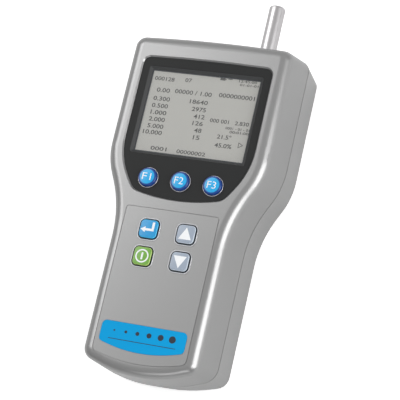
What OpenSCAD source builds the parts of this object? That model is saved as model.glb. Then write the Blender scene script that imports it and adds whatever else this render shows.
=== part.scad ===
// Handheld airborne particle counter.
// It lies on its back: +X is to the right of the face, +Y runs towards the inlet, +Z out of the face.
// The origin is the middle of the footprint of the whole instrument, on the plane it rests on.

/* [Housing] */
// Width of the head across the face
head_w = 104.4; // [98:0.2:112]
// Width of the grip across the face
grip_w = 73.6; // [71:0.2:78]
// Length of the grip, from the end to where the neck widens
grip_l = 103.4; // [98:0.2:110]
// Length of the head, from the end of the neck to the top
head_l = 88.4; // [86:0.2:96]
// Depth of the housing, from the face to the back
body_d = 63; // [61:0.5:68]
// Depth of the front shell, from the face to the seam
seam_depth = 28; // [26:0.5:30]
// Lean of the neck's sides from the long axis, in degrees
neck_angle = 26.5; // [24:0.5:30]
// How much further towards the head the neck lies at the back than at the face
neck_rake = 6; // [0:0.5:8]
// How much wider each side is at the seam than at the face
side_flare = 5.4; // [3:0.1:6]
// How much further the top reaches at the seam than at the face
top_flare = 4; // [2:0.1:4.5]
// How much further the grip's end reaches at the seam than at the face
end_flare = 0.3; // [0:0.1:2]
// How much each side draws in from the seam to the back
back_draft = 2.5; // [1:0.1:3]
// How much the top draws in from the seam to the back
top_draft = 0.5; // [0:0.1:3]
// How much the grip's end draws in from the seam to the back
end_draft = 4.8; // [2:0.1:8]
// Wall of both shells
wall_t = 2.5; // [2:0.1:2.8]
// Wall of the front shell's face
face_t = 3; // [2.8:0.1:3.2]
// Width and depth of the groove along the seam
seam_groove = 0.5; // [0.3:0.1:0.8]

/* [Housing curves] */
// Radius of the long curve across the grip's end, at the face
end_arc_r = 87; // [80:1:130]
// Radius of the long curve across the grip's end, at the back
back_arc_r = 108; // [80:1:130]
// Radius of the shallow curve across the top
crown_r = 1000; // [800:50:1050]
// Radius of the grip's end corners at the face
end_corner_r = 7.2; // [6.8:0.2:10]
// Radius of the grip's end corners at the seam
end_seam_r = 10.8; // [8:0.2:14]
// Radius of the head's top corners at the face
top_corner_r = 6.6; // [6.4:0.2:9]
// Radius of the head's top corners at the seam
top_seam_r = 7.2; // [6.8:0.2:12]
// Inside radius where the grip runs into the neck
waist_r = 80; // [60:1:90]
// Radius of the shoulder where the neck meets the head
shoulder_r = 46; // [30:1:55]
// Radius of the edge round the face
face_edge_r = 6; // [4:0.2:6.2]
// Radius of the edge round the back
back_edge_r = 4; // [3:0.2:4.4]

/* [Display panel] */
// Width of the dark panel
panel_w = 86.6; // [84:0.2:90]
// Length of the dark panel
panel_l = 92.9; // [91:0.1:96]
// Distance from the top of the face to the panel
panel_margin = 14.2; // [12:0.2:15]
// Depth of the panel's surface below the face
panel_sink = 1; // [0.6:0.1:1.2]
// Width of the slope round the panel's seat
panel_slope_w = 0.8; // [0.3:0.1:1.2]
// Thickness of the panel
panel_t = 1; // [0.8:0.1:1.2]
// Radius of the panel's top corners
panel_corner_r = 4.5; // [3:0.5:7]
// Width of the visible screen
screen_w = 72; // [68:0.5:74]
// Height of the visible screen
screen_h = 54; // [50:0.5:56]
// Distance from the panel's top to the middle of the screen
screen_drop = 35.9; // [35:0.1:37]
// Width of the slope round the screen
bevel_w = 2; // [1:0.1:2.4]
// Depth of the slope round the screen
bevel_d = 1.7; // [1.2:0.1:1.9]
// Thickness of the clear window
window_t = 0.5; // [0.3:0.1:0.8]

/* [Keys] */
// Diameter of a function key
fkey_d = 12; // [10:0.1:13]
// Distance between function keys
fkey_pitch = 21.6; // [19:0.1:22]
// Distance from the panel's lower edge to the function keys
fkey_up = 12.3; // [11:0.1:13]
// Side of a square key
key_side = 12.5; // [11:0.1:14]
// Corner radius of a square key
key_corner_r = 1.8; // [1:0.1:3]
// Distance between the square keys across the grip
key_pitch_x = 24.6; // [20:0.2:27]
// Distance between the square keys along the grip
key_pitch_y = 17.5; // [17:0.1:20]
// Distance from the panel's lower edge to the upper square keys
key_drop = 20.8; // [19:0.1:22]
// How far a function key stands out of the panel
fkey_proud = 2.2; // [1.4:0.1:2.6]
// How far a square key stands out of the overlay
key_proud = 1.6; // [1:0.1:2]
// Travel of a key
key_travel = 0.8; // [0.4:0.1:1]
// Gap all round a key
key_gap = 0.35; // [0.3:0.05:0.5]

/* [Overlay and badge] */
// Overlay beyond the badge at each side
overlay_side = 2.7; // [1.5:0.1:4]
// Distance from the panel's lower edge to the overlay
overlay_gap = 7.4; // [6:0.1:9]
// Distance from the end of the face to the overlay
overlay_margin = 7.1; // [6.6:0.1:9]
// Thickness of the overlay
overlay_t = 0.5; // [0.3:0.1:0.8]
// Width of the badge plate
badge_w = 55.6; // [50:0.2:57]
// Length of the badge plate along its middle
badge_l = 17; // [14:0.5:20]
// Distance from the overlay's end to the badge plate
badge_up = 6.6; // [5:0.1:9]

/* [Inlet] */
// Outer diameter of the inlet tube
inlet_d = 10.5; // [8:0.1:12]
// Bore of the inlet tube
inlet_bore_d = 7.6; // [5:0.1:7.8]
// How far the inlet tube stands out of the head
inlet_reach = 33.9; // [20:0.1:50]
// Distance of the inlet from the middle of the head
inlet_x = 27.6; // [26:0.1:29]

/* [Power] */
// Diameter of a battery cell
cell_d = 18.6; // [17:0.1:19]
// Length of the battery pack
pack_l = 70; // [66:0.5:72]
// Width of the battery cover
cover_w = 54; // [52:0.5:56]
// Thickness of the battery cover
cover_t = 2; // [1.6:0.1:2.2]
// Distance from the grip's end to the battery bay
bay_y = 29; // [28:0.5:31]

/* [Hidden] */
$fn = 48;

silver = "#b9bbbd";
charcoal = "#323438";
key_blue = "#1e88c8";
key_grey = "#8b9bb0";
key_green = "#58a63c";
badge_blue = "#00a0dc";
steel = "#c4c6c8";
brass = "#c8a24a";
rubber_black = "#26272a";

clear = 0.2;            // gap between fixed pieces that slide together
stack_gap = 0.05;       // gap between layers, and round a screw in its hole
press_gap = 0.02;       // gap round a pressed or stretched piece
seat_gap = 0.35;        // gap round the overlay in its seat
trim_gap = 0.15;        // gap round the badge and the tongue
key_clear = 0.3;        // gap above and below a key's parts
over = 1;               // how far a cut runs past what it cuts
floor_z = wall_t / 2;   // where posts and ribs start inside the back's wall

// Lines of the housing. Lengths run from y = 0 at the grip's end, heights from z = 0 at the back.
neck_l = (head_w - grip_w) / 2 / tan(neck_angle);
body_l = grip_l + neck_l + head_l;
overall_l = body_l + inlet_reach;
seam_z = body_d - seam_depth;
face_end_y = end_flare;
face_top_y = body_l - top_flare;
end_reach = grip_w / 2 - end_corner_r;  // half of the end that its long curve takes
crown_side = 4;         // part of the top's half width that its curve leaves to the corner
crown_reach = head_w / 2 - top_corner_r - crown_side;
face_in_z = body_d - face_t;
head_half = head_w / 2 + side_flare;
grip_half = grip_w / 2 + side_flare;

// Display stack, from the panel's surface down to the board
panel_z = body_d - panel_sink;
panel_top_y = face_top_y - panel_margin;
panel_low_y = panel_top_y - panel_l;
screen_y = panel_top_y - screen_drop;
lip_z = panel_z - bevel_d;
screen_line = 0.6;      // dark line left between the slope and the screen
lip_wall = 0.8;         // panel material outside the top of the slope
lip_w = screen_w + 2 * (screen_line + bevel_w + lip_wall);
lip_h = screen_h + 2 * (screen_line + bevel_w + lip_wall);
window_z = lip_z - stack_gap - window_t;
module_rim = 5;         // frame outside the visible screen
module_w = screen_w + 2 * module_rim;
module_h = screen_h + 2 * module_rim;
module_z = window_z - stack_gap;
frame_t = 0.3;
glass_t = 2;
backlight_t = 3.5;
floor_t = 2.2;          // shell material below the panel, away from the screen

// Board
board_t = 1.6;
board_drop = 12.4;      // from the face to the board's underside
board_z = body_d - board_drop;
board_top_z = board_z + board_t;
board_head_w = 82;
board_grip_w = 62;
board_reach = 41;       // board beyond the middle of the screen
board_top_y = screen_y + board_reach;
board_step_up = 6;      // from the panel's lower edge to where the board widens
board_step_l = 9;
board_step_y = panel_low_y + board_step_up;
switch_side = 6;
switch_h = 2.2;
plunger_h = 0.6;
plunger_r = 1.6;
plunger_top_z = board_top_z + switch_h + plunger_h;
stem_z = plunger_top_z + key_travel + key_clear;
stem_r = 2;
flange_t = 1;
flange_w = 1.5;         // how far a key's flange reaches under the shell

// Keys
fkey_y = panel_low_y + fkey_up;
key_row_y = [panel_low_y - key_drop, panel_low_y - key_drop - key_pitch_y];
key_col_x = [-key_pitch_x / 2, key_pitch_x / 2];

// Overlay and badge
overlay_w = badge_w + 2 * overlay_side;
overlay_arc_r = 100;
overlay_low_y = face_end_y + overlay_margin;
overlay_top_y = panel_low_y - overlay_gap;
overlay_corner_r = 3.5;
plate_corner_w = 6.4;   // width that the low corners of the overlay and badge take
badge_low_y = overlay_low_y + badge_up;
badge_corner_r = 3;
badge_arc_step = 12;
badge_arc_r = overlay_arc_r - badge_arc_step;
badge_proud = 0.1;
badge_t = overlay_t + badge_proud;
key_lip_w = 0.7;        // raised lip of the overlay round each square key
key_lip_h = 0.35;

// Screws that hold the shells together
screw_r = 1.45;
screw_l = 32;
screw_head_r = 2.9;
screw_head_h = 2.2;
boss_r = 3.6;
post_r = 4.8;
well_r = 3.3;
well_z = 14;
mid_boss_drop = 57.4;   // from the panel's top to the middle screws
end_boss_drop = 7;      // from the battery bay to the screws at the grip's end
top_boss_up = 2.6;      // from the panel's top to the upper screws
boss_y = [bay_y - end_boss_drop, panel_top_y - mid_boss_drop, panel_top_y + top_boss_up];
end_boss_in = 11.1;     // from the widest part of the side to each pair of screws
mid_boss_in = 8.4;
top_boss_in = 12.2;
boss_x = [grip_half - end_boss_in, head_half - mid_boss_in, head_half - top_boss_in];

// Screws that hold the board, in the front shell's pillars
pillar_r = 3;
pillar_in = 3.5;        // from the board's edges to its screws
top_pillar_in = 11;
low_pillar_drop = 8;    // from the lower square keys to the lower screws
mid_pillar_up = 2.2;    // from the function keys to the middle screws
pillar_x = [board_grip_w / 2 - pillar_in, board_head_w / 2 - pillar_in, board_head_w / 2 - top_pillar_in];
pillar_y = [key_row_y[1] - low_pillar_drop, fkey_y + mid_pillar_up, board_top_y - pillar_in];
board_screw_r = 1.2;
board_screw_l = 6;
board_head_r = 2.2;
board_head_h = 1.6;

// Inlet and air path, all on the seam's plane
inlet_r = inlet_d / 2;
inlet_step = 0.4;       // shoulder of the tube, just outside the housing
inlet_seat_r = inlet_r - inlet_step;
tube_lead = 0.4;        // small lead at the mouth of the bore
inlet_shoulder_gap = 0.3;
inlet_shoulder_y = body_l + inlet_shoulder_gap;
air_z = seam_z;
inlet_wall_y = body_l - wall_t;
inlet_boss_l = 7;
inlet_boss_wall = 5;
inlet_boss_r = inlet_seat_r + inlet_boss_wall;
seal_r = 1.5;
seal_y = inlet_wall_y - inlet_boss_l / 2;
collar_l = 4.6;
collar_wall = 2.8;
collar_r = inlet_seat_r + collar_wall;
sleeve_wall = 2;
sleeve_l = 14;
sleeve_gap = 2;
collar_y = inlet_wall_y - inlet_boss_l - collar_l - clear;
chamber_w = 32;
chamber_l = 36;
chamber_h = 28;
chamber_drop = 20.5;    // from the middle of the screen to the chamber's lower end
chamber_y = screen_y - chamber_drop;
chamber_z = air_z - chamber_h / 2;
chamber_top_y = chamber_y + chamber_l;
nozzle_l = 6;
nozzle_gap = 1;
tube_in_y = chamber_top_y + nozzle_l + nozzle_gap;
hose_r = 4.5;
hose_bore_r = 3;
barb_l = 5;
barb_gap = 0.5;
barb_wall = 1;
filter_up = 2.2;
filter_y = fkey_y + filter_up;
filter_r = 11;
filter_band_l = 16;
filter_step = 1.5;
filter_x = [-22, 10];
sample_bend_r = inlet_x - filter_x[1] - barb_l;
pump_bend_r = 8;
pump_in_x = filter_x[0] - barb_l - pump_bend_r;
pump_head_w = 30;
pump_head_l = 15;
pump_head_z = [8, 42];
pump_in = 11;           // from the pump's inlet to its middle
pump_up = 5;
pump_x = pump_in_x + pump_in;
pump_y = chamber_y + pump_up;
outlet_r = 3;
outlet_shift = 4;       // from the pump's middle to its outlet and the exhaust slots
motor_r = 12;
motor_l = 28;
motor_z = 21;
motor_y = pump_y + pump_head_l;
shaft_r = 4;
shaft_l = 2;
ring_t = 1.4;
ring_w = 3;
ring_in = 6;            // from the motor's front to the first ring
ring_pitch = 15;
ring_y = [motor_y + ring_in, motor_y + ring_in + ring_pitch];
rib_side = 3;
rib_drop = 2;
laser_y = chamber_y + chamber_l / 2;
laser_r = 4.5;
laser_l = 16;
ear_w = 6;
ear_t = 3;
ear_up = 9;
ear_lap = 0.5;
chamber_screw_l = 5;
chamber_hole_l = 8;
cross_bore_r = 3;
well_bore_r = 5.2;
plug_r = cross_bore_r - 0.1;
plug_l = 4;
stop_r = 4.5;
stop_l = 3;
detector_w = 24;
detector_t = 1.6;
detector_r = 4.6;
can_w = 20;
can_h = 8;
can_t = 0.4;

// Sockets in the left side
usb_up = 18;            // from the chamber's lower end to the data socket
usb_y = chamber_y + usb_up;
usb_size = [8.5, 7.7, 3.9];
usb_sheet = 0.4;
usb_tongue = [7, 5.2, 0.9];
usb_gap = 0.45;
usb_out = 2.1;          // how far the sockets reach out from the wall's inside at the face
socket_pitch = 17;
dc_y = usb_y + socket_pitch;
dc_size = [13, 9, 10.5];
dc_nose_r = 4;
dc_bore_r = 2.75;
dc_pin_r = 1;
dc_depth = 10.5;
dc_out = 2;
dc_lap = 1.6;           // the jack's body starts inside the wall's taper
dc_z = board_z - dc_size[2] / 2;
usb_z = board_z - usb_size[2] / 2;
sensor_drop = 9;
sensor_y = usb_y - sensor_drop;
sensor_w = 10;
sensor_chip_w = 4;
sensor_t = 1.2;
vent_pitch = 2.4;
vent_w = 1;
vent_h = 8;

// Battery bay, cover and tripod bush
cell_r = cell_d / 2;
cell_gap = 0.6;
cell_pitch = cell_d + cell_gap;
pack_w = cell_pitch + cell_d;
bay_gap = 1.2;
bay_w = pack_w + 2 * bay_gap;
contact_room = 5;
bay_l = pack_l + contact_room;
pack_y = bay_y + 3.5;   // the pack stands off the bay's end by the contacts' springs
bay_t = 1.8;
ledge_t = 2.2;
ledge_w = (cover_w - bay_w) / 2 - clear;
cover_gap = 0.25;
cover_end = 7;          // cover beyond the bay at each end
cover_l = bay_l + 2 * cover_end;
cover_y = bay_y - cover_end;
cover_seat_z = cover_t + clear;
pack_sink = 1.4;        // how far the pack lies in the ledge
pack_room = 1;
pack_z = cover_seat_z + ledge_t - pack_sink;
bay_top_z = pack_z + cell_d + pack_room;
cover_corner_r = 4;
tab_w = 8;
tab_l = 3;
tab_t = 1;
tab_x = 14;
cover_screw_in = 3.8;
cover_screw_y = cover_y + cover_screw_in;
cover_screw_r = 1.4;
cover_screw_l = 6;
cover_head_r = 2.5;
cover_head_h = 0.9;
cover_sink = 0.3;       // the cover's screw and the tripod bush lie below the back
cover_post_r = 3.4;
grip_slot_w = 1.3;
grip_slot_l = 24;
grip_slot_d = 0.75;
grip_slot_pitch = 2.6;
grip_slot_up = 10;
tripod_up = 24;
tripod_y = bay_y + bay_l + tripod_up;
tripod_r = 2.6;         // wall of a quarter-inch coarse thread at its root
tripod_l = 9;
tripod_outer_r = 5;
tripod_wall = 3;
tripod_end = 1;
contact_w = 6;
contact_h = 9;
contact_t = 0.5;
contact_up = 5;
spring_l = 3.4;

// Chips and the buzzer on the underside of the board
chip_low_w = 14;
chip_low_t = 1.6;
chip_side_w = 10;
chip_side_l = 7;
chip_side_x = 18;
chip_small_w = 8;
chip_small_x = 14;
driver_w = 12;
driver_l = 18;
driver_up = 26;
chip_t = 1.2;
buzzer_r = 6.5;
buzzer_h = 6.5;
buzzer_hole_r = 1.2;
buzzer_hole_d = 2;
buzzer_x = 20;
buzzer_up = 12;

// ---- shared shapes ----

function unit(v) = v / norm(v);
function short_turn(a) = a > 180 ? a - 360 : a < -180 ? a + 360 : a;

// A corner is [x, y, radius, steps]. It becomes the arc that touches the lines to both neighbours.
function corner_arc(before, corner, after) =
    let (p = [corner[0], corner[1]],
         u = unit([before[0], before[1]] - p),
         v = unit([after[0], after[1]] - p),
         half = acos(u * v) / 2,
         reach = corner[2] / tan(half),
         centre = p + unit(u + v) * corner[2] / sin(half),
         s = p + u * reach - centre,
         e = p + v * reach - centre,
         start = atan2(s[1], s[0]),
         sweep = short_turn(atan2(e[1], e[0]) - start))
    [for (i = [0:corner[3]]) centre + corner[2] * [cos(start + sweep * i / corner[3]),
                                                    sin(start + sweep * i / corner[3])]];

function rounded(corners) =
    let (n = len(corners))
    [for (i = [0:n - 1]) each corner_arc(corners[(i + n - 1) % n], corners[i], corners[(i + 1) % n])];

// Right half, from the bottom of the middle line to its top, and its mirror image
function mirrored(half) =
    concat(half, [for (i = [len(half) - 2:-1:1]) [-half[i][0], half[i][1], half[i][2], half[i][3]]]);

function box_corners(w, l, r, steps = 6) =
    [[w / 2, -l / 2, r, steps], [w / 2, l / 2, r, steps], [-w / 2, l / 2, r, steps], [-w / 2, -l / 2, r, steps]];

// Stands a list of outlines, each [outline, z], on one another
module loft(levels) {
    n = len(levels[0][0]);
    polyhedron(
        points = [for (level = levels) each [for (p = level[0]) [p[0], p[1], level[1]]]],
        faces = concat(
            [[for (i = [0:n - 1]) i]],
            [[for (i = [n - 1:-1:0]) (len(levels) - 1) * n + i]],
            [for (k = [0:len(levels) - 2]) each [for (i = [0:n - 1])
                each [[k * n + i, (k + 1) * n + i, (k + 1) * n + (i + 1) % n],
                      [k * n + i, (k + 1) * n + (i + 1) % n, k * n + (i + 1) % n]]]]));
}

module prism(points, z0, z1) {
    translate([0, 0, z0]) linear_extrude(z1 - z0) polygon(points);
}

module plate(w, l, r, z0, z1) {
    prism(rounded(box_corners(w, l, r)), z0, z1);
}

module rod(r, l, fn = 48) {
    rotate([-90, 0, 0]) cylinder(r = r, h = l, $fn = fn);
}

module rod_x(r, l, fn = 48) {
    rotate([0, 90, 0]) cylinder(r = r, h = l, $fn = fn);
}

module both_sides() {
    children();
    mirror([1, 0, 0]) children();
}

// Puts the origin in the middle of the footprint
module in_frame() {
    translate([0, -overall_l / 2, 0]) children();
}

// ---- outlines of the housing ----

// The housing's outline, grown sideways, at the top and at the end, with the neck moved up by a rise
function body_corners(side, top, end, rise, arc_r, low_corner_r, high_corner_r) =
    let (gw = grip_w / 2 + side,
         hw = head_w / 2 + side,
         neck_shift = rise - side * tan(neck_angle / 2),
         low_lean = asin(end_reach / arc_r),
         high_lean = asin(crown_reach / crown_r),
         low_y = face_end_y - end - arc_r * (1 / cos(low_lean) - 1),
         high_y = face_top_y + top + crown_r * (1 / cos(high_lean) - 1))
    mirrored([[0, low_y, arc_r, 12],
              [gw, low_y + gw * tan(low_lean), max(low_corner_r, 0.5), 6],
              [gw, grip_l + neck_shift, waist_r - side, 8],
              [hw, grip_l + neck_l + neck_shift, shoulder_r + side, 6],
              [hw, high_y - hw * tan(high_lean), max(high_corner_r, 0.5), 6],
              [0, high_y, crown_r, 8]]);

function mix(a, b, share) = a + (b - a) * share;

// Outline of the front shell at a depth below the face, drawn in by an inset
function front_outline(depth, inset) =
    let (share = depth / seam_depth)
    rounded(body_corners(
        side_flare * share - inset, top_flare * share - inset, end_flare * share - inset,
        neck_rake * depth / body_d, end_arc_r - inset,
        mix(end_corner_r, end_seam_r, share) - inset, mix(top_corner_r, top_seam_r, share) - inset));

// Outline of the rear shell at a height above the back, drawn in by an inset
function rear_outline(z, inset) =
    let (share = 1 - z / seam_z)
    rounded(body_corners(
        side_flare - back_draft * share - inset, top_flare - top_draft * share - inset,
        end_flare - end_draft * share - inset,
        neck_rake * (body_d - z) / body_d, mix(end_arc_r, back_arc_r, share) - inset,
        end_seam_r - back_draft * share - inset, top_seam_r - back_draft * share - inset));

function edge_steps(count) = [for (i = [0:count]) 90 * i / count];

// Each loft runs past its flat ends and is trimmed there, so that every flat is one clean plane
module trimmed(z0, z1) {
    intersection() {
        children();
        half_space(z0, z1);
    }
}

module half_space(z0, z1) {
    translate([-head_w, -2 * over, z0]) cube([2 * head_w, body_l + 4 * over, z1 - z0]);
}

module front_solid() {
    trimmed(seam_z, body_d) loft(concat(
        [[front_outline(seam_depth + over, seam_groove), seam_z - over],
         [front_outline(seam_depth - seam_groove, seam_groove), seam_z + seam_groove],
         [front_outline(seam_depth - seam_groove, 0), seam_z + seam_groove]],
        [for (t = edge_steps(6)) let (depth = face_edge_r * (1 - sin(t)))
            [front_outline(depth, face_edge_r * (1 - cos(t))), body_d - depth]],
        [[front_outline(0, face_edge_r), body_d + over]]));
}

module front_cavity() {
    inner_r = face_edge_r - wall_t;
    trimmed(0, face_in_z) loft(concat(
        [[front_outline(seam_depth + over, wall_t), seam_z - over]],
        [for (t = edge_steps(2)) let (depth = face_t + inner_r * (1 - sin(t)))
            [front_outline(depth, wall_t + inner_r * (1 - cos(t))), body_d - depth]],
        [[front_outline(face_t, face_edge_r), face_in_z + over]]));
}

module rear_solid() {
    trimmed(0, seam_z) loft(concat(
        [[rear_outline(0, back_edge_r), -over]],
        [for (t = edge_steps(6)) let (z = back_edge_r * (1 - cos(t)))
            [rear_outline(z, back_edge_r * (1 - sin(t))), z]],
        [[rear_outline(seam_z + over, 0), seam_z + over]]));
}

module rear_cavity() {
    inner_r = back_edge_r - wall_t;
    trimmed(wall_t, body_d) loft(concat(
        [[rear_outline(wall_t, back_edge_r), wall_t - over]],
        [for (t = edge_steps(2)) let (z = wall_t + inner_r * (1 - cos(t)))
            [rear_outline(z, wall_t + inner_r * (1 - sin(t))), z]],
        [[rear_outline(seam_z + over, wall_t), seam_z + over]]));
}

// Outline of the dark panel: a shallow crown, straight sides and a rounded shield below
panel_lean = 34;        // lean of the shield's sides
panel_lean_r = 48;
panel_low_r = 115;
shield_corner_w = 17.4; // half width of the panel that its low curve leaves to the corners
panel_low_corner_r = 9;
panel_crown_lean = 2;
function panel_corners(grow) =
    let (w = panel_w / 2,
         panel_low_lean = asin((w - shield_corner_w) / panel_low_r),
         low = panel_low_y - panel_low_r * (1 / cos(panel_low_lean) - 1),
         high = panel_top_y + crown_r * (1 / cos(panel_crown_lean) - 1),
         side_y = fkey_y + 11.5,
         run = tan(panel_lean),
         rise = tan(panel_low_lean),
         shield_y = (low + rise * (w - run * side_y)) / (1 - rise * run),
         shield_x = w - run * (side_y - shield_y),
         side_shift = -grow * tan(panel_lean / 2))
    mirrored([[0, low - grow / cos(panel_low_lean), panel_low_r + grow, 10],
              [shield_x + grow * 0.8, shield_y - grow * 0.8, panel_low_corner_r + grow, 4],
              [w + grow, side_y + side_shift, panel_lean_r + grow, 6],
              [w + grow, high + grow - (w + grow) * tan(panel_crown_lean), panel_corner_r + grow, 6],
              [0, high + grow, crown_r, 4]]);

// Outline with a straight top and a curved lower edge, for the overlay and the badge
function shield_corners(w, low, high, arc_r, corner_r, top_r, grow) =
    let (low_r = arc_r + grow,
         plate_lean = asin((w / 2 - plate_corner_w) / arc_r),
         low_y = low - grow - low_r * (1 / cos(plate_lean) - 1),
         half = w / 2 + grow)
    [[0, low_y, low_r, 10],
     [half, low_y + half * tan(plate_lean), corner_r + grow, 6],
     [half, high + grow, top_r + grow, 5],
     [-half, high + grow, top_r + grow, 5],
     [-half, low_y + half * tan(plate_lean), corner_r + grow, 6]];

function overlay_outline(grow) = rounded(shield_corners(
    overlay_w, overlay_low_y, overlay_top_y, overlay_arc_r, overlay_corner_r, 1.5, grow));

function badge_outline(grow) = rounded(shield_corners(
    badge_w, badge_low_y, badge_low_y + badge_l, badge_arc_r, badge_corner_r, badge_corner_r, grow));

// ---- shells ----

// Block behind the top wall that carries the inlet; each shell keeps its half
module inlet_boss() {
    translate([inlet_x, inlet_wall_y - inlet_boss_l, air_z]) rod(inlet_boss_r, inlet_boss_l + wall_t / 2);
}

module inlet_cuts() {
    translate([inlet_x, inlet_wall_y - inlet_boss_l - over, air_z])
        rod(inlet_seat_r + trim_gap, inlet_boss_l + wall_t + top_flare + 2 * over);
    translate([inlet_x, seal_y - seal_r - clear / 2, air_z]) rod(inlet_seat_r + 2 * seal_r, 2 * seal_r + clear);
}

module at_bosses() {
    both_sides() for (i = [0:2]) translate([boss_x[i], boss_y[i], 0]) children();
}

module at_pillars() {
    both_sides() for (i = [0:2]) translate([pillar_x[i], pillar_y[i], 0]) children();
}

tongue_in = 1.4;
tongue_h = 1.5;
root = 0.5;             // how deep a post or a floor is rooted in its wall
floor_rim = 1.5;        // thick floor beyond the panel
panel_gap = 0.1;
post_engage = screw_l - 10;

module front_shell() in_frame() color(silver) {
    difference() {
        union() {
            difference() {
                front_solid();
                front_cavity();
            }
            // tongue that seats in the rear shell
            difference() {
                prism(front_outline(seam_depth, tongue_in), seam_z - tongue_h, seam_z + over);
                prism(front_outline(seam_depth, wall_t), seam_z - tongue_h - over, seam_z + 2 * over);
            }
            // thicker floor under the panel, and the pillars
            prism(rounded(panel_corners(floor_rim)), panel_z - panel_t - floor_t, face_in_z + root);
            at_bosses() translate([0, 0, seam_z]) cylinder(r = boss_r, h = seam_depth - face_t + root);
            at_pillars() translate([0, 0, board_top_z])
                cylinder(r = pillar_r, h = face_in_z - board_top_z + root);
            intersection() {
                inlet_boss();
                half_space(seam_z, body_d);
            }
        }
        // seat of the panel, its opening, and room for the display module
        prism(rounded(panel_corners(panel_gap)), panel_z - panel_t, panel_z + panel_sink / 2);
        loft([[rounded(panel_corners(panel_gap)), panel_z],
              [rounded(panel_corners(panel_gap + panel_slope_w * (1 + over / panel_sink))), body_d + over]]);
        translate([0, screen_y, 0]) {
            plate(lip_w + 2 * clear, lip_h + 2 * clear, 2, seam_z, body_d);
            plate(module_w + 4 * clear, module_h + 4 * clear, 2, seam_z, module_z + clear);
        }
        for (i = [-1:1]) translate([i * fkey_pitch, fkey_y, seam_z]) cylinder(d = fkey_d + 3 * key_gap, h = body_d);
        // seat of the overlay and the keys' holes
        prism(overlay_outline(seat_gap), body_d - overlay_t, body_d + over);
        at_square_keys() key_plate(1.5 * key_gap, seam_z, body_d + over);
        // screws, inlet and sockets
        at_bosses() translate([0, 0, seam_z - over]) cylinder(r = screw_r + stack_gap, h = post_engage);
        at_pillars() translate([0, 0, board_top_z - over])
            cylinder(r = board_screw_r + stack_gap, h = board_screw_l);
        inlet_cuts();
        side_cut = side_flare + wall_t + over;
        translate([-head_half - over, usb_y - usb_size[1] / 2 - usb_gap, usb_z - usb_size[2] / 2 - usb_gap])
            cube([side_cut, usb_size[1] + 2 * usb_gap, usb_size[2] + 2 * usb_gap]);
        translate([-head_half - over, dc_y, dc_z]) rod_x(dc_nose_r + key_clear, side_cut);
        for (i = [-1:1]) translate([-head_half - over, sensor_y + vent_pitch * i - vent_w / 2, dc_z - vent_h / 2])
            cube([side_cut, vent_w, vent_h]);
    }
}

module rear_shell() in_frame() color(silver) {
    difference() {
        union() {
            difference() {
                rear_solid();
                rear_cavity();
            }
            // screw posts; those at the sloping end are trimmed to it
            both_sides() for (i = [1:2]) translate([boss_x[i], boss_y[i], floor_z])
                cylinder(r = post_r, h = seam_z - floor_z);
            intersection() {
                rear_solid();
                both_sides() translate([boss_x[0], boss_y[0], floor_z]) cylinder(r = post_r, h = seam_z - floor_z);
            }
            battery_bay_walls();
            translate([0, tripod_y, floor_z]) cylinder(r = tripod_outer_r + tripod_wall, h = tripod_l + tripod_end);
            at_chamber_ears() translate([0, 0, floor_z]) cylinder(r = ear_w / 2, h = chamber_z - floor_z);
            pump_ribs();
            intersection() {
                inlet_boss();
                half_space(0, seam_z);
            }
        }
        // rebate for the front shell's tongue
        prism(front_outline(seam_depth, tongue_in - trim_gap), seam_z - tongue_h - trim_gap, seam_z + over);
        at_bosses() {
            translate([0, 0, -over]) cylinder(r = well_r, h = well_z + over);
            cylinder(r = screw_r + key_clear, h = body_d);
        }
        battery_bay_cuts();
        translate([0, tripod_y, -over]) cylinder(r = tripod_outer_r, h = tripod_l + over);
        inlet_cuts();
        exhaust_slots();
        at_chamber_ears() translate([0, 0, chamber_z - chamber_hole_l])
            cylinder(r = board_screw_r + stack_gap, h = chamber_hole_l + over);
    }
}

module battery_bay_walls() {
    translate([-bay_w / 2 - bay_t, bay_y - bay_t, floor_z])
        cube([bay_w + 2 * bay_t, bay_l + 2 * bay_t, bay_top_z + bay_t - floor_z]);
    translate([0, cover_y + cover_l / 2, 0])
        plate(cover_w + 2 * ledge_t, cover_l + 4 * ledge_t, cover_corner_r + ledge_t, floor_z,
              cover_seat_z + ledge_t);
    translate([0, cover_screw_y, floor_z])
        cylinder(r = cover_post_r, h = cover_seat_z + cover_screw_l + pack_room - floor_z);
}

module battery_bay_cuts() {
    translate([-bay_w / 2, bay_y, cover_seat_z - over]) cube([bay_w, bay_l, bay_top_z - cover_seat_z + over]);
    translate([0, cover_y + cover_l / 2, 0])
        plate(cover_w + 2 * cover_gap, cover_l + 2 * cover_gap, cover_corner_r, -over, cover_seat_z);
    both_sides() translate([tab_x - tab_w / 2 - clear, cover_y + cover_l - over, cover_seat_z - tab_t - 2 * clear])
        cube([tab_w + 2 * clear, tab_l + over + clear, tab_t + 2 * clear]);
    translate([0, cover_screw_y, 0]) 
        cylinder(r = cover_screw_r + stack_gap, h = cover_seat_z + cover_screw_l);
}

slot_l = 16;
slot_w = 1.8;
slot_pitch = 4;
module exhaust_slots() {
    for (i = [-2:2]) translate([pump_x + outlet_shift, pump_y + pump_head_l / 2 + slot_pitch * i, -over]) {
        translate([-slot_l / 2, -slot_w / 2, 0]) cube([slot_l, slot_w, wall_t + 2 * over]);
        for (s = [-1, 1]) translate([s * slot_l / 2, 0, 0]) cylinder(d = slot_w, h = wall_t + 2 * over);
    }
}

module at_chamber_ears() {
    for (s = [-1, 1]) translate([inlet_x + s * (chamber_w / 2 + ear_w / 2 - ear_lap), chamber_y + ear_up, 0])
        children();
}

module pump_ribs() {
    for (y = ring_y) translate([pump_x, y, 0]) difference() {
        translate([-motor_r - rib_side, 0, floor_z])
            cube([2 * (motor_r + rib_side), ring_w, motor_z - rib_drop - floor_z]);
        translate([0, -over, motor_z]) rod(motor_r + ring_t + clear / 2, ring_w + 2 * over);
    }
}

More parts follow.
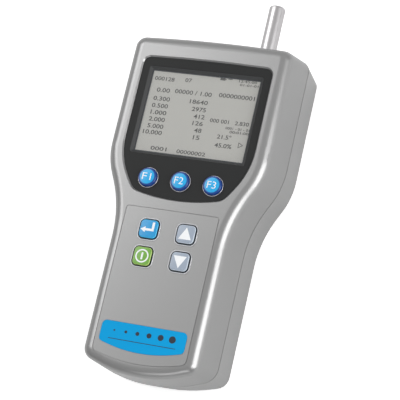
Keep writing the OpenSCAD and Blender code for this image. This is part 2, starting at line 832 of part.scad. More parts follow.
// ---- display ----

module display_panel() in_frame() color(charcoal) {
    difference() {
        union() {
            prism(rounded(panel_corners(0)), panel_z - panel_t, panel_z);
            translate([0, screen_y, 0]) plate(lip_w, lip_h, 1.8, lip_z, panel_z);
        }
        translate([0, screen_y, 0]) loft([
            [rounded(box_corners(screen_w + 2 * screen_line, screen_h + 2 * screen_line, 0.6, 2)), lip_z - 0.01],
            [rounded(box_corners(screen_w + 2 * (screen_line + bevel_w), screen_h + 2 * (screen_line + bevel_w),
                                 1.2, 2)), panel_z + 0.01]]);
        for (i = [-1:1]) translate([i * fkey_pitch, fkey_y, seam_z]) cylinder(d = fkey_d + 2 * key_gap, h = body_d);
    }
}

module display_window() in_frame() color("#dfe8ea", 0.35) {
    translate([0, screen_y, 0]) plate(lip_w, lip_h, 1.8, window_z, window_z + window_t);
}

module lcd_frame() in_frame() color("#2b2c2e") {
    translate([0, screen_y, 0]) difference() {
        plate(module_w, module_h, 1, board_top_z, module_z);
        plate(module_w - 2 * frame_t, module_h - 2 * frame_t, 0.7, board_top_z - over, module_z - frame_t);
        plate(screen_w, screen_h, 0.3, board_top_z, module_z + over);
    }
}

module lcd_glass() in_frame() color("#b3b4ae") {
    translate([0, screen_y, 0]) plate(module_w - 4, module_h - 4, 0.5, module_z - frame_t - glass_t, module_z - frame_t);
}

module backlight() in_frame() color("#f2f2ee") {
    translate([0, screen_y, 0])
        plate(module_w - 3, module_h - 3, 0.5, module_z - frame_t - glass_t - backlight_t, module_z - frame_t - glass_t);
}

// ---- overlay, badge and keys ----

module at_square_keys() {
    for (x = key_col_x, y = key_row_y) translate([x, y, 0]) children();
}

module key_plate(grow, z0, z1) {
    plate(key_side + 2 * grow, key_side + 2 * grow, key_corner_r + grow, z0, z1);
}

module keypad_overlay() in_frame() color(silver) {
    difference() {
        union() {
            prism(overlay_outline(0), body_d - overlay_t, body_d);
            at_square_keys() key_plate(key_gap + key_lip_w, body_d - overlay_t / 2, body_d + key_lip_h);
        }
        prism(badge_outline(trim_gap), body_d - overlay_t - over, body_d + over);
        at_square_keys() key_plate(key_gap, body_d - overlay_t - over, body_d + over);
    }
}

module badge_plate() in_frame() color(badge_blue) {
    prism(badge_outline(0), body_d - overlay_t, body_d - overlay_t + badge_t);
}

// Round key: a turned cap with a rounded rim and a shallow dome, a flange and a stem
module round_key(x) {
    r = fkey_d / 2;
    rim_r = 0.9;
    dome = 0.35;
    top_z = panel_z + fkey_proud;
    flange_z = panel_z - panel_t - floor_t - key_clear - flange_t;
    translate([x, fkey_y, 0]) rotate_extrude($fn = 64) polygon(concat(
        [[0, stem_z], [stem_r, stem_z], [stem_r, flange_z], [r + flange_w, flange_z], [r + flange_w, flange_z + flange_t],
         [r, flange_z + flange_t]],
        [for (t = [0:15:75]) [r - rim_r * (1 - cos(t)), top_z - rim_r * (1 - sin(t))]],
        [for (s = [1:-0.25:0]) [(r - rim_r) * s, top_z + dome * (1 - s * s)]]));
}

// Square key: a block with a sloping rim, a flange and a stem
module square_key(x, y) {
    rim = 0.9;
    top_z = body_d + key_proud;
    flange_z = face_in_z - key_clear - flange_t;
    translate([x, y, 0]) {
        loft([[rounded(box_corners(key_side, key_side, key_corner_r)), flange_z + flange_t / 2],
              [rounded(box_corners(key_side, key_side, key_corner_r)), top_z - rim],
              [rounded(box_corners(key_side - rim / 2, key_side - rim / 2, key_corner_r - rim / 4)), top_z - rim / 4],
              [rounded(box_corners(key_side - 2 * rim, key_side - 2 * rim, key_corner_r - rim)), top_z]]);
        plate(key_side + 2 * flange_w, key_side + 2 * flange_w, key_corner_r, flange_z, flange_z + flange_t);
        translate([0, 0, stem_z]) cylinder(r = stem_r, h = flange_z - stem_z + flange_t / 2);
    }
}

module key_f1() in_frame() color(key_blue) round_key(-fkey_pitch);
module key_f2() in_frame() color(key_blue) round_key(0);
module key_f3() in_frame() color(key_blue) round_key(fkey_pitch);
module key_enter() in_frame() color(key_blue) square_key(key_col_x[0], key_row_y[0]);
module key_up() in_frame() color(key_grey) square_key(key_col_x[1], key_row_y[0]);
module key_power() in_frame() color(key_green) square_key(key_col_x[0], key_row_y[1]);
module key_down() in_frame() color(key_grey) square_key(key_col_x[1], key_row_y[1]);

// ---- board and what it carries ----

module main_board() in_frame() color("#1f6b3a") {
    bottom_y = pillar_y[0] - pillar_in;
    difference() {
        translate([0, 0, board_z]) linear_extrude(board_t) polygon(concat(
            [[board_grip_w / 2, bottom_y], [board_grip_w / 2, board_step_y], [board_head_w / 2, board_step_y + board_step_l],
             [board_head_w / 2, board_top_y]],
            [[-board_head_w / 2, board_top_y], [-board_head_w / 2, board_step_y + board_step_l],
             [-board_grip_w / 2, board_step_y], [-board_grip_w / 2, bottom_y]]));
        at_pillars() translate([0, 0, board_z - over]) cylinder(r = board_screw_r + clear, h = board_t + 2 * over);
    }
}

module switch_unit() {
    translate([-switch_side / 2, -switch_side / 2, board_top_z]) cube([switch_side, switch_side, switch_h]);
    translate([0, 0, board_top_z + switch_h]) cylinder(r = plunger_r, h = plunger_h);
}

module key_switches() in_frame() color("#3b3c40") {
    for (i = [-1:1]) translate([i * fkey_pitch, fkey_y, 0]) switch_unit();
    for (x = key_col_x, y = key_row_y) translate([x, y, 0]) switch_unit();
}

module chip(x, y, w, l, h) {
    translate([x - w / 2, y - l / 2, board_z - h]) cube([w, l, h]);
}

module board_chips() in_frame() color("#1d1d1f") {
    chip(0, key_row_y[0], chip_low_w, chip_low_w, chip_low_t);
    chip(-chip_side_x, key_row_y[1], chip_side_w, chip_side_l, chip_t);
    chip(chip_small_x, key_row_y[1], chip_small_w, chip_small_w, chip_t);
    chip(0, screen_y + driver_up, driver_w, driver_l, chip_t);
}

module board_screws() in_frame() color(steel) {
    at_pillars() {
        translate([0, 0, board_z - board_head_h]) cylinder(r = board_head_r, h = board_head_h);
        translate([0, 0, board_z - clear]) cylinder(r = board_screw_r, h = board_screw_l);
    }
}

module buzzer() in_frame() color(rubber_black) {
    translate([buzzer_x, key_row_y[0] + buzzer_up, board_z - buzzer_h]) difference() {
        cylinder(r = buzzer_r, h = buzzer_h);
        translate([0, 0, -over]) cylinder(r = buzzer_hole_r, h = buzzer_hole_d + over);
    }
}

module usb_socket() in_frame() color(steel) {
    x = -head_half + side_flare - usb_out;
    tongue_x = usb_size[0] - usb_tongue[0];
    translate([x, usb_y - usb_size[1] / 2, usb_z - usb_size[2] / 2]) difference() {
        cube(usb_size);
        translate([-over, usb_sheet, usb_sheet])
            cube([usb_size[0] - 1 + over, usb_size[1] - 2 * usb_sheet, usb_size[2] - 2 * usb_sheet]);
    }
    translate([x + tongue_x, usb_y - usb_tongue[1] / 2, usb_z - usb_sheet]) cube(usb_tongue);
}

module dc_jack() in_frame() color(rubber_black) {
    nose_x = -head_half + side_flare - dc_out;
    body_x = -head_half + side_flare + wall_t - dc_lap;
    difference() {
        union() {
            translate([body_x, dc_y - dc_size[1] / 2, dc_z - dc_size[2] / 2]) cube(dc_size);
            translate([nose_x, dc_y, dc_z]) rod_x(dc_nose_r, body_x - nose_x + over);
        }
        translate([nose_x - over, dc_y, dc_z]) rod_x(dc_bore_r, dc_depth + over);
    }
    translate([nose_x + dc_pin_r, dc_y, dc_z]) rod_x(dc_pin_r, dc_depth);
}

module climate_sensor() in_frame() color("#f4f4f4") {
    x = -head_half + side_flare + wall_t + sensor_t;
    translate([x, sensor_y - sensor_w / 2, dc_z - sensor_w / 2])
        cube([sensor_t, sensor_w, board_z - dc_z + sensor_w / 2]);
    translate([x - sensor_t + clear, sensor_y - sensor_chip_w / 2, dc_z - sensor_chip_w / 2])
        cube([sensor_t, sensor_chip_w, sensor_chip_w]);
}

// ---- inlet ----

module inlet_tube() in_frame() color(steel) {
    bore_r = inlet_bore_d / 2;
    lip_r = (inlet_r - bore_r) / 2;
    length = overall_l - tube_in_y;
    translate([inlet_x, tube_in_y, air_z]) rotate([-90, 0, 0]) rotate_extrude($fn = 64) polygon(concat(
        [[bore_r, 0], [inlet_seat_r, 0], [inlet_seat_r, inlet_shoulder_y - tube_in_y],
         [inlet_r, inlet_shoulder_y - tube_in_y], [inlet_r, length - 2 * lip_r]],
        [for (t = [15:15:90]) [inlet_r - 2 * lip_r * (1 - cos(t)), length - 2 * lip_r * (1 - sin(t))]],
        [[bore_r, length - tube_lead]]));
}

module inlet_collar() in_frame() color(steel) {
    translate([inlet_x, collar_y, air_z]) difference() {
        rod(collar_r, collar_l);
        translate([0, -over, 0]) rod(inlet_seat_r + press_gap, collar_l + 2 * over);
    }
}

module inlet_seal() in_frame() color(rubber_black) {
    translate([inlet_x, seal_y, air_z]) rotate([-90, 0, 0])
        rotate_extrude($fn = 48) translate([inlet_seat_r + seal_r, 0]) circle(r = seal_r - press_gap, $fn = 24);
}

module inlet_sleeve() in_frame() color("#d9d2c4") {
    translate([inlet_x, chamber_top_y + sleeve_gap, air_z]) difference() {
        rod(inlet_seat_r + sleeve_wall, sleeve_l);
        translate([0, -over, 0]) rod(inlet_seat_r + press_gap, sleeve_l + 2 * over);
    }
}

// ---- optical sensor ----

module optical_chamber() in_frame() color("#4a4c50") {
    difference() {
        union() {
            translate([inlet_x - chamber_w / 2, chamber_y, chamber_z]) cube([chamber_w, chamber_l, chamber_h]);
            at_chamber_ears() translate([-ear_w / 2 - ear_lap, -ear_w / 2, chamber_z])
                cube([ear_w + 2 * ear_lap, ear_w, ear_t]);
            translate([inlet_x, chamber_top_y - over, air_z]) rod(inlet_seat_r, nozzle_l + over);
            translate([inlet_x, chamber_y - barb_l, air_z]) rod(hose_bore_r, barb_l + over);
        }
        translate([inlet_x, chamber_y + chamber_l / 2, air_z]) rod(inlet_bore_d / 2, chamber_l);
        translate([inlet_x, chamber_y - barb_l - over, air_z])
            rod(hose_bore_r - barb_wall, chamber_l / 2 + barb_l + 2 * over);
        translate([inlet_x - chamber_w / 2 - over, laser_y, air_z]) rod_x(cross_bore_r, chamber_w + 2 * over);
        translate([inlet_x, laser_y, chamber_z - over]) cylinder(r = well_bore_r, h = chamber_h / 2);
        at_chamber_ears() translate([0, 0, chamber_z - over]) cylinder(r = board_screw_r + clear, h = ear_t + 2 * over);
    }
}

module chamber_screws() in_frame() color(steel) {
    at_chamber_ears() {
        translate([0, 0, chamber_z - chamber_screw_l]) cylinder(r = board_screw_r, h = ear_t + chamber_screw_l);
        translate([0, 0, chamber_z + ear_t]) cylinder(r = board_head_r, h = board_head_h);
    }
}

module laser_module() in_frame() color(brass) {
    x = inlet_x - chamber_w / 2;
    translate([x - laser_l, laser_y, air_z]) rod_x(laser_r, laser_l);
    translate([x - stack_gap, laser_y, air_z]) rod_x(plug_r, plug_l);
}

module beam_stop() in_frame() color(rubber_black) {
    x = inlet_x + chamber_w / 2;
    translate([x - plug_l, laser_y, air_z]) rod_x(plug_r, plug_l + stack_gap);
    translate([x, laser_y, air_z]) rod_x(stop_r, stop_l);
}

module detector_board() in_frame() color("#1f6b3a") {
    translate([inlet_x - detector_w / 2, laser_y - detector_w / 2, chamber_z - detector_t])
        cube([detector_w, detector_w, detector_t]);
    translate([inlet_x, laser_y, chamber_z - stack_gap]) cylinder(r = detector_r, h = plug_l);
}

module shield_can() in_frame() color(steel) {
    z = chamber_z - detector_t - can_h;
    translate([inlet_x - can_w / 2, laser_y - can_w / 2, z]) difference() {
        cube([can_w, can_w, can_h]);
        translate([can_t, can_t, can_t]) cube([can_w - 2 * can_t, can_w - 2 * can_t, can_h]);
    }
}

// ---- air path ----

// Quarter bend of hose that turns from -Y towards -X or back, about the z axis
module bend(r, start) {
    rotate([0, 0, start]) rotate_extrude(angle = 90, $fn = 64) translate([r, 0]) difference() {
        circle(r = hose_r, $fn = 32);
        circle(r = hose_bore_r + stack_gap, $fn = 32);
    }
}

module hose_piece(l) {
    difference() {
        rod(hose_r, l);
        translate([0, -over, 0]) rod(hose_bore_r + stack_gap, l + 2 * over);
    }
}

module sample_hose() in_frame() color("#dcd6c8") {
    bend_y = filter_y + sample_bend_r;
    translate([inlet_x - sample_bend_r, bend_y, air_z]) bend(sample_bend_r, -90);
    translate([inlet_x, bend_y, air_z]) hose_piece(chamber_y - barb_gap - bend_y);
    translate([filter_x[1] + barb_gap, filter_y, air_z]) rotate([0, 0, -90]) hose_piece(barb_l - barb_gap);
}

module exhaust_filter() in_frame() color("#e8ecee") {
    length = filter_x[1] - filter_x[0];
    translate([filter_x[0], filter_y, air_z]) {
        rod_x(filter_r - filter_step, length);
        translate([(length - filter_band_l) / 2, 0, 0]) rod_x(filter_r, filter_band_l);
        translate([-barb_l, 0, 0]) rod_x(hose_bore_r, length + 2 * barb_l);
    }
}

module pump_hose() in_frame() color("#dcd6c8") {
    bend_y = filter_y + pump_bend_r;
    translate([filter_x[0] - barb_l, bend_y, air_z]) bend(pump_bend_r, 180);
    translate([filter_x[0] - barb_gap, filter_y, air_z]) rotate([0, 0, 90]) hose_piece(barb_l - barb_gap);
    translate([pump_in_x, bend_y, air_z]) hose_piece(pump_y - barb_gap - bend_y);
}

module pump_head() in_frame() color("#3a3c3f") {
    translate([pump_x - pump_head_w / 2, pump_y, pump_head_z[0]])
        cube([pump_head_w, pump_head_l, pump_head_z[1] - pump_head_z[0]]);
    translate([pump_in_x, pump_y - barb_l, air_z]) rod(hose_bore_r, barb_l + over);
    translate([pump_x + outlet_shift, pump_y + pump_head_l / 2, wall_t + over])
        cylinder(r = outlet_r, h = pump_head_z[0] - wall_t);
}

module pump_motor() in_frame() color(steel) {
    translate([pump_x, motor_y, motor_z]) rod(motor_r, motor_l);
    translate([pump_x, motor_y + motor_l, motor_z]) rod(shaft_r, shaft_l);
}

module pump_rings() in_frame() color(rubber_black) {
    for (y = ring_y) translate([pump_x, y, motor_z]) difference() {
        rod(motor_r + ring_t, ring_w);
        translate([0, -over, 0]) rod(motor_r + press_gap, ring_w + 2 * over);
    }
}

// ---- power and fixings ----

module tripod_insert() in_frame() color(brass) {
    translate([0, tripod_y, cover_sink]) difference() {
        cylinder(r = tripod_outer_r - press_gap, h = tripod_l - clear - cover_sink);
        translate([0, 0, -over]) cylinder(r = tripod_r, h = tripod_l - tripod_end + over);
    }
}

module battery_pack() in_frame() color("#2d6fb5") {
    for (s = [-1, 1]) translate([s * cell_pitch / 2, pack_y, pack_z + cell_r]) rod(cell_r, pack_l);
    translate([-cell_pitch / 2, pack_y, pack_z]) cube([cell_pitch, pack_l, cell_d]);
}

module battery_contacts() in_frame() color(brass) {
    for (s = [-1, 1]) translate([(s * cell_pitch - contact_w) / 2, bay_y, pack_z + contact_up]) {
        cube([contact_w, contact_t, contact_h]);
        translate([0, 0, contact_h / 3]) cube([contact_w, spring_l, contact_t]);
    }
}

module battery_cover() in_frame() color(silver) {
    difference() {
        union() {
            translate([0, cover_y + cover_l / 2, 0]) plate(cover_w, cover_l, cover_corner_r, trim_gap,
                                                           cover_seat_z - stack_gap);
            both_sides() translate([tab_x - tab_w / 2, cover_y + cover_l - over, cover_seat_z - tab_t - clear])
                cube([tab_w, tab_l + over, tab_t]);
        }
        for (i = [0:4]) translate([-grip_slot_l / 2, cover_y + grip_slot_up + grip_slot_pitch * i, -over])
            cube([grip_slot_l, grip_slot_w, over + grip_slot_d]);
        translate([0, cover_screw_y, -over]) {
            cylinder(r = cover_screw_r + key_clear, h = cover_t + 3 * over);
            cylinder(r = cover_head_r + key_clear, h = over + cover_sink + cover_head_h);
        }
    }
}

module cover_screw() in_frame() color(steel) {
    translate([0, cover_screw_y, cover_sink]) {
        cylinder(r = cover_head_r, h = cover_head_h);
        cylinder(r = cover_screw_r, h = cover_screw_l);
    }
}

module case_screws() in_frame() color(steel) {
    at_bosses() translate([0, 0, well_z - screw_head_h]) {
        cylinder(r = screw_head_r, h = screw_head_h);
        cylinder(r = screw_r, h = screw_head_h + screw_l);
    }
}

front_shell();
rear_shell();
display_panel();
display_window();
lcd_frame();
lcd_glass();
backlight();
keypad_overlay();
badge_plate();
key_f1();
key_f2();
key_f3();
key_enter();
key_up();
key_power();
key_down();
main_board();
key_switches();
board_chips();
board_screws();
buzzer();
usb_socket();
dc_jack();
climate_sensor();
inlet_tube();
inlet_collar();
inlet_seal();
inlet_sleeve();
optical_chamber();
chamber_screws();
laser_module();
beam_stop();
detector_board();
shield_can();
sample_hose();
exhaust_filter();
pump_hose();
pump_head();
pump_motor();
pump_rings();
tripod_insert();
battery_pack();
battery_contacts();
battery_cover();
cover_screw();
case_screws();
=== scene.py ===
# %% [markdown]
# # A handheld particle counter, dressed in Blender
# The housing, the keys, the screen stack and all that is inside arrive from the CAD model, already
# at their true size and place. This lesson gives them their finishes and adds the fine things that
# are quicker to model in Blender than to draw in CAD: rounder caps and raised surrounds for the
# square keys, bright beads round the function keys as a painted highlight, the print on the keys,
# the screen and the badge, the cross recesses of the screws and the thread of the tripod bush. It
# also trims two tips off the front shell's edge.

# %% Load the frame
import bpy
import math
from mathutils import Matrix, Vector


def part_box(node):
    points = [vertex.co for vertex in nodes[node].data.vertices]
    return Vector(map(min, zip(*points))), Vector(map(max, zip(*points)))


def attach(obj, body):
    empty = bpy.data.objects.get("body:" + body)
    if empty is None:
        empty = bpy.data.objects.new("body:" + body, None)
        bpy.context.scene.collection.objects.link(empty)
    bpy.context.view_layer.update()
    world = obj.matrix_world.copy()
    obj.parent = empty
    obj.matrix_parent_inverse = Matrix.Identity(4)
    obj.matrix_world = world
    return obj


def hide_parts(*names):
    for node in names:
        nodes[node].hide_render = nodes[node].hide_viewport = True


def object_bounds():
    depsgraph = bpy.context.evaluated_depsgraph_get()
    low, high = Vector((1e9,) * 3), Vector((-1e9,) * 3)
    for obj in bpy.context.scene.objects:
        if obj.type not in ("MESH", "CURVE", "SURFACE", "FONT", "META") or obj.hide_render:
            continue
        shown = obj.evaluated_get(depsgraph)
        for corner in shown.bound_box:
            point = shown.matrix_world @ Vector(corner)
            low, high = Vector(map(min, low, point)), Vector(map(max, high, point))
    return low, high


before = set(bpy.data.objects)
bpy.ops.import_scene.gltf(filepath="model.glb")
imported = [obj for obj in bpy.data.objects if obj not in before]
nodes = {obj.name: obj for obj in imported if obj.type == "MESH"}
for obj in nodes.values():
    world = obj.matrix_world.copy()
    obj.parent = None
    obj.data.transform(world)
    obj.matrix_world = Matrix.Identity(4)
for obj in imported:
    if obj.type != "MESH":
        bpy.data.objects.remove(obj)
cad_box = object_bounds()
MM = 0.001


def in_mm(values, digits=2):
    return [round(v / MM, digits) for v in values]


print("loaded", len(nodes), "CAD nodes, box in mm:", in_mm(cad_box[0]), in_mm(cad_box[1]))

# %% [markdown]
# ## The camera
# The instrument lies on its back and is seen from the lower right, at a long focal length, with
# the camera turned so that its long axis runs up the frame. A camera is placed by three
# directions: its right, its up and its back, which become the columns of its matrix.

# %% Camera
camera_data = bpy.data.cameras.new("camera")
camera = bpy.data.objects.new("camera", camera_data)
bpy.context.scene.collection.objects.link(camera)
bpy.context.scene.camera = camera
camera_data.sensor_width = 36
camera_data.lens = 136.76
camera_data.clip_end = 20
right = Vector((0.9314, 0.2207, -0.2896)).normalized()
up = Vector((-0.1292, 0.9439, 0.3038)).normalized()
back = right.cross(up).normalized()
up = back.cross(right)
place = Vector((0.3328, -0.2432, 0.9083))
camera.matrix_world = Matrix((
    (right.x, up.x, back.x, place.x),
    (right.y, up.y, back.y, place.y),
    (right.z, up.z, back.z, place.z),
    (0, 0, 0, 1)))
print("camera at", [round(v, 3) for v in place], "looks along", [round(-v, 3) for v in back])

# %% [markdown]
# ## Helpers for modelling with operators
# An operator works on whatever is selected, so each helper first clears the selection. Faces and
# edges are chosen by where they are, which is more reliable than counting them. A finished piece
# has its place applied into its mesh, so that its object stays at the origin.

# %% Selection and placing helpers
MERGE = 0.000002
COPY_MERGE = 0.000001


def start_fresh():
    if bpy.context.object and bpy.context.object.mode != "OBJECT":
        bpy.ops.object.mode_set(mode="OBJECT")
    bpy.ops.object.select_all(action="DESELECT")


def pick(piece):
    start_fresh()
    piece.select_set(True)
    bpy.context.view_layer.objects.active = piece


def bake_place(piece):
    pick(piece)
    bpy.ops.object.transform_apply(location=True, rotation=True, scale=True)


def select_faces(piece, test):
    bpy.ops.object.mode_set(mode="OBJECT")
    for v in piece.data.vertices:
        v.select = False
    for e in piece.data.edges:
        e.select = False
    for f in piece.data.polygons:
        f.select = test(f)
    bpy.ops.object.mode_set(mode="EDIT")
    bpy.ops.mesh.select_mode(type="FACE")


def select_edges(piece, test):
    bpy.ops.object.mode_set(mode="OBJECT")
    points = piece.data.vertices
    for v in points:
        v.select = False
    for f in piece.data.polygons:
        f.select = False
    for e in piece.data.edges:
        e.select = test(points[e.vertices[0]].co, points[e.vertices[1]].co)
    bpy.ops.object.mode_set(mode="EDIT")
    bpy.ops.mesh.select_mode(type="EDGE")


def outward(piece):
    pick(piece)
    bpy.ops.object.mode_set(mode="EDIT")
    bpy.ops.mesh.select_all(action="SELECT")
    bpy.ops.mesh.remove_doubles(threshold=MERGE)
    bpy.ops.mesh.normals_make_consistent(inside=False)
    bpy.ops.object.mode_set(mode="OBJECT")


def soften(piece, width, segments, angle):
    pick(piece)
    edge = piece.modifiers.new("soft edge", "BEVEL")
    edge.width = width
    edge.segments = segments
    edge.limit_method = "ANGLE"
    edge.angle_limit = math.radians(angle)
    bpy.ops.object.modifier_apply(modifier=edge.name)


def smooth(piece, angle):
    pick(piece)
    bpy.ops.object.shade_smooth_by_angle(angle=math.radians(angle))


def finish_piece(piece, name, finish, body):
    bake_place(piece)
    piece.name = name
    piece.data.name = name
    piece.data.materials.clear()
    piece.data.materials.append(finish)
    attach(piece, body)
    print(name, "has", len(piece.data.polygons), "faces, size mm", in_mm(piece.dimensions))


print("helpers are ready")

# %% [markdown]
# ## Shader groups
# Four effects are used by more than one finish, so each is a node group: a fine grain with slow
# changes of tone, scuffs from handling, turned marks round an axis, and a colour that changes with
# height. A group only gives colours, values and heights. The shader itself stays in each material.

# %% Group helper
MIDDLE = 0.5


def new_group(name, inputs, outputs):
    tree = bpy.data.node_groups.new(name, "ShaderNodeTree")
    for label, kind, value in inputs:
        made = tree.interface.new_socket(name=label, in_out="INPUT", socket_type=kind)
        made.default_value = value
    for label, kind in outputs:
        tree.interface.new_socket(name=label, in_out="OUTPUT", socket_type=kind)
    start = tree.nodes.new("NodeGroupInput")
    end = tree.nodes.new("NodeGroupOutput")
    return tree, start, end


def feed(tree, value, socket):
    """A plain number is set on the socket, and another socket is linked to it."""
    if isinstance(value, (int, float)):
        socket.default_value = value
    else:
        tree.links.new(value, socket)


def math_node(tree, operation, a, b, clamp=False):
    n = tree.nodes.new("ShaderNodeMath")
    n.operation = operation
    n.use_clamp = clamp
    feed(tree, a, n.inputs[0])
    feed(tree, b, n.inputs[1])
    return n.outputs[0]


def spread(tree, noise, amount):
    """Noise lies round its middle value: this takes that off and sets how much is left."""
    return math_node(tree, "MULTIPLY", math_node(tree, "SUBTRACT", noise, MIDDLE), amount)


def noise_node(tree, where, scale, detail=2.0, rough=0.5):
    n = tree.nodes.new("ShaderNodeTexNoise")
    tree.links.new(where, n.inputs["Vector"])
    feed(tree, scale, n.inputs["Scale"])
    n.inputs["Detail"].default_value = detail
    n.inputs["Roughness"].default_value = rough
    return n.outputs["Fac"]


def lighten(tree, colour, amount):
    """The colour times a number, as a vector product."""
    n = tree.nodes.new("ShaderNodeVectorMath")
    n.operation = "SCALE"
    tree.links.new(colour, n.inputs[0])
    tree.links.new(amount, n.inputs["Scale"])
    return n.outputs[0]


print("group helpers are ready")

# %% Grain: flecks, slow tone changes and a fine height
SLOW_PER_METRE = 14.0
grain, g_in, g_out = new_group(
    "grain",
    [("Where", "NodeSocketVector", (0, 0, 0)), ("Colour", "NodeSocketColor", (0.5, 0.5, 0.5, 1)),
     ("Per metre", "NodeSocketFloat", 3000.0), ("Flecks", "NodeSocketFloat", 0.05),
     ("Tone", "NodeSocketFloat", 0.03), ("Gloss", "NodeSocketFloat", 0.4),
     ("Gloss range", "NodeSocketFloat", 0.06)],
    [("Colour", "NodeSocketColor"), ("Roughness", "NodeSocketFloat"),
     ("Height", "NodeSocketFloat")])
fine = noise_node(grain, g_in.outputs["Where"], g_in.outputs["Per metre"], rough=0.6)
slow = noise_node(grain, g_in.outputs["Where"], SLOW_PER_METRE, detail=1.0)
fleck = spread(grain, fine, g_in.outputs["Flecks"])
drift = spread(grain, slow, g_in.outputs["Tone"])
level = math_node(grain, "ADD", math_node(grain, "ADD", fleck, drift), 1.0)
grain.links.new(lighten(grain, g_in.outputs["Colour"], level), g_out.inputs["Colour"])
patchy = spread(grain, slow, g_in.outputs["Gloss range"])
grain.links.new(math_node(grain, "ADD", g_in.outputs["Gloss"], patchy, True),
                g_out.inputs["Roughness"])
grain.links.new(fine, g_out.inputs["Height"])
print("grain has", len(grain.nodes), "nodes")

# %% Scuffs: long faint marks where hands and benches rub
SCUFF_SCALE = (900, 60, 400)
SCUFF_TURN = (0, 0, 0.7)
SCUFF_FLOOR = 0.62
SCUFF_GAIN = 7.0
WORN_PER_METRE = 30.0
scuffs, s_in, s_out = new_group(
    "scuffs",
    [("Where", "NodeSocketVector", (0, 0, 0)), ("Roughness", "NodeSocketFloat", 0.4),
     ("Amount", "NodeSocketFloat", 0.1)],
    [("Roughness", "NodeSocketFloat")])
stretch = scuffs.nodes.new("ShaderNodeMapping")
stretch.inputs["Scale"].default_value = SCUFF_SCALE
stretch.inputs["Rotation"].default_value = SCUFF_TURN
scuffs.links.new(s_in.outputs["Where"], stretch.inputs["Vector"])
marks = noise_node(scuffs, stretch.outputs[0], 1.0, detail=3.0, rough=0.55)
strongest = math_node(scuffs, "SUBTRACT", marks, SCUFF_FLOOR)
thin = math_node(scuffs, "MULTIPLY", strongest, SCUFF_GAIN, True)
where_worn = noise_node(scuffs, s_in.outputs["Where"], WORN_PER_METRE, detail=1.0)
mask = math_node(scuffs, "MULTIPLY", thin, where_worn, True)
rise = math_node(scuffs, "MULTIPLY", mask, s_in.outputs["Amount"])
scuffs.links.new(math_node(scuffs, "ADD", s_in.outputs["Roughness"], rise, True),
                 s_out.inputs["Roughness"])
print("scuffs has", len(scuffs.nodes), "nodes")

# %% Turned marks: fine rings left by a lathe, along one axis
turned, t_in, t_out = new_group(
    "turned marks",
    [("Along", "NodeSocketFloat", 0.0), ("Per metre", "NodeSocketFloat", 4000.0),
     ("Gloss", "NodeSocketFloat", 0.15), ("Gloss range", "NodeSocketFloat", 0.08)],
    [("Roughness", "NodeSocketFloat"), ("Height", "NodeSocketFloat")])
ring = turned.nodes.new("ShaderNodeTexNoise")
ring.noise_dimensions = "1D"
along = math_node(turned, "MULTIPLY", t_in.outputs["Along"], t_in.outputs["Per metre"])
turned.links.new(along, ring.inputs["W"])
ring.inputs["Scale"].default_value = 1.0
shift = spread(turned, ring.outputs["Fac"], t_in.outputs["Gloss range"])
turned.links.new(math_node(turned, "ADD", t_in.outputs["Gloss"], shift, True),
                 t_out.inputs["Roughness"])
turned.links.new(ring.outputs["Fac"], t_out.inputs["Height"])
print("turned marks has", len(turned.nodes), "nodes")

# %% Height share: how far a point is from a low level to a high one
height_share, h_in, h_out = new_group(
    "height share",
    [("Height", "NodeSocketFloat", 0.0), ("Low", "NodeSocketFloat", 0.0),
     ("High", "NodeSocketFloat", 1.0)],
    [("Share", "NodeSocketFloat")])
span = math_node(height_share, "SUBTRACT", h_in.outputs["High"], h_in.outputs["Low"])
rise = math_node(height_share, "SUBTRACT", h_in.outputs["Height"], h_in.outputs["Low"])
height_share.links.new(math_node(height_share, "DIVIDE", rise, span, True), h_out.inputs["Share"])
print("height share has", len(height_share.nodes), "nodes")

# %% [markdown]
# ## Finishes
# Most of the surfaces are moulded, painted or pressed, and differ in colour, gloss and grain. One
# helper builds such a finish from the grain and scuffs groups, with its own values each time, and
# returns the material, so that a finish that needs more can add to it.

# %% Finish helper
COAT_GLOSS = 0.08


def linear_level(c):
    """One level from 0 to 255, straightened by the standard curve of screens."""
    return c / 255 / 12.92 if c <= 10 else ((c / 255 + 0.055) / 1.055) ** 2.4


def linear(r, g, b):
    """Screen colour from 0 to 255, as the linear numbers that a shader takes."""
    return linear_level(r), linear_level(g), linear_level(b), 1


def shader_of(material):
    return material.node_tree.nodes["Principled BSDF"]


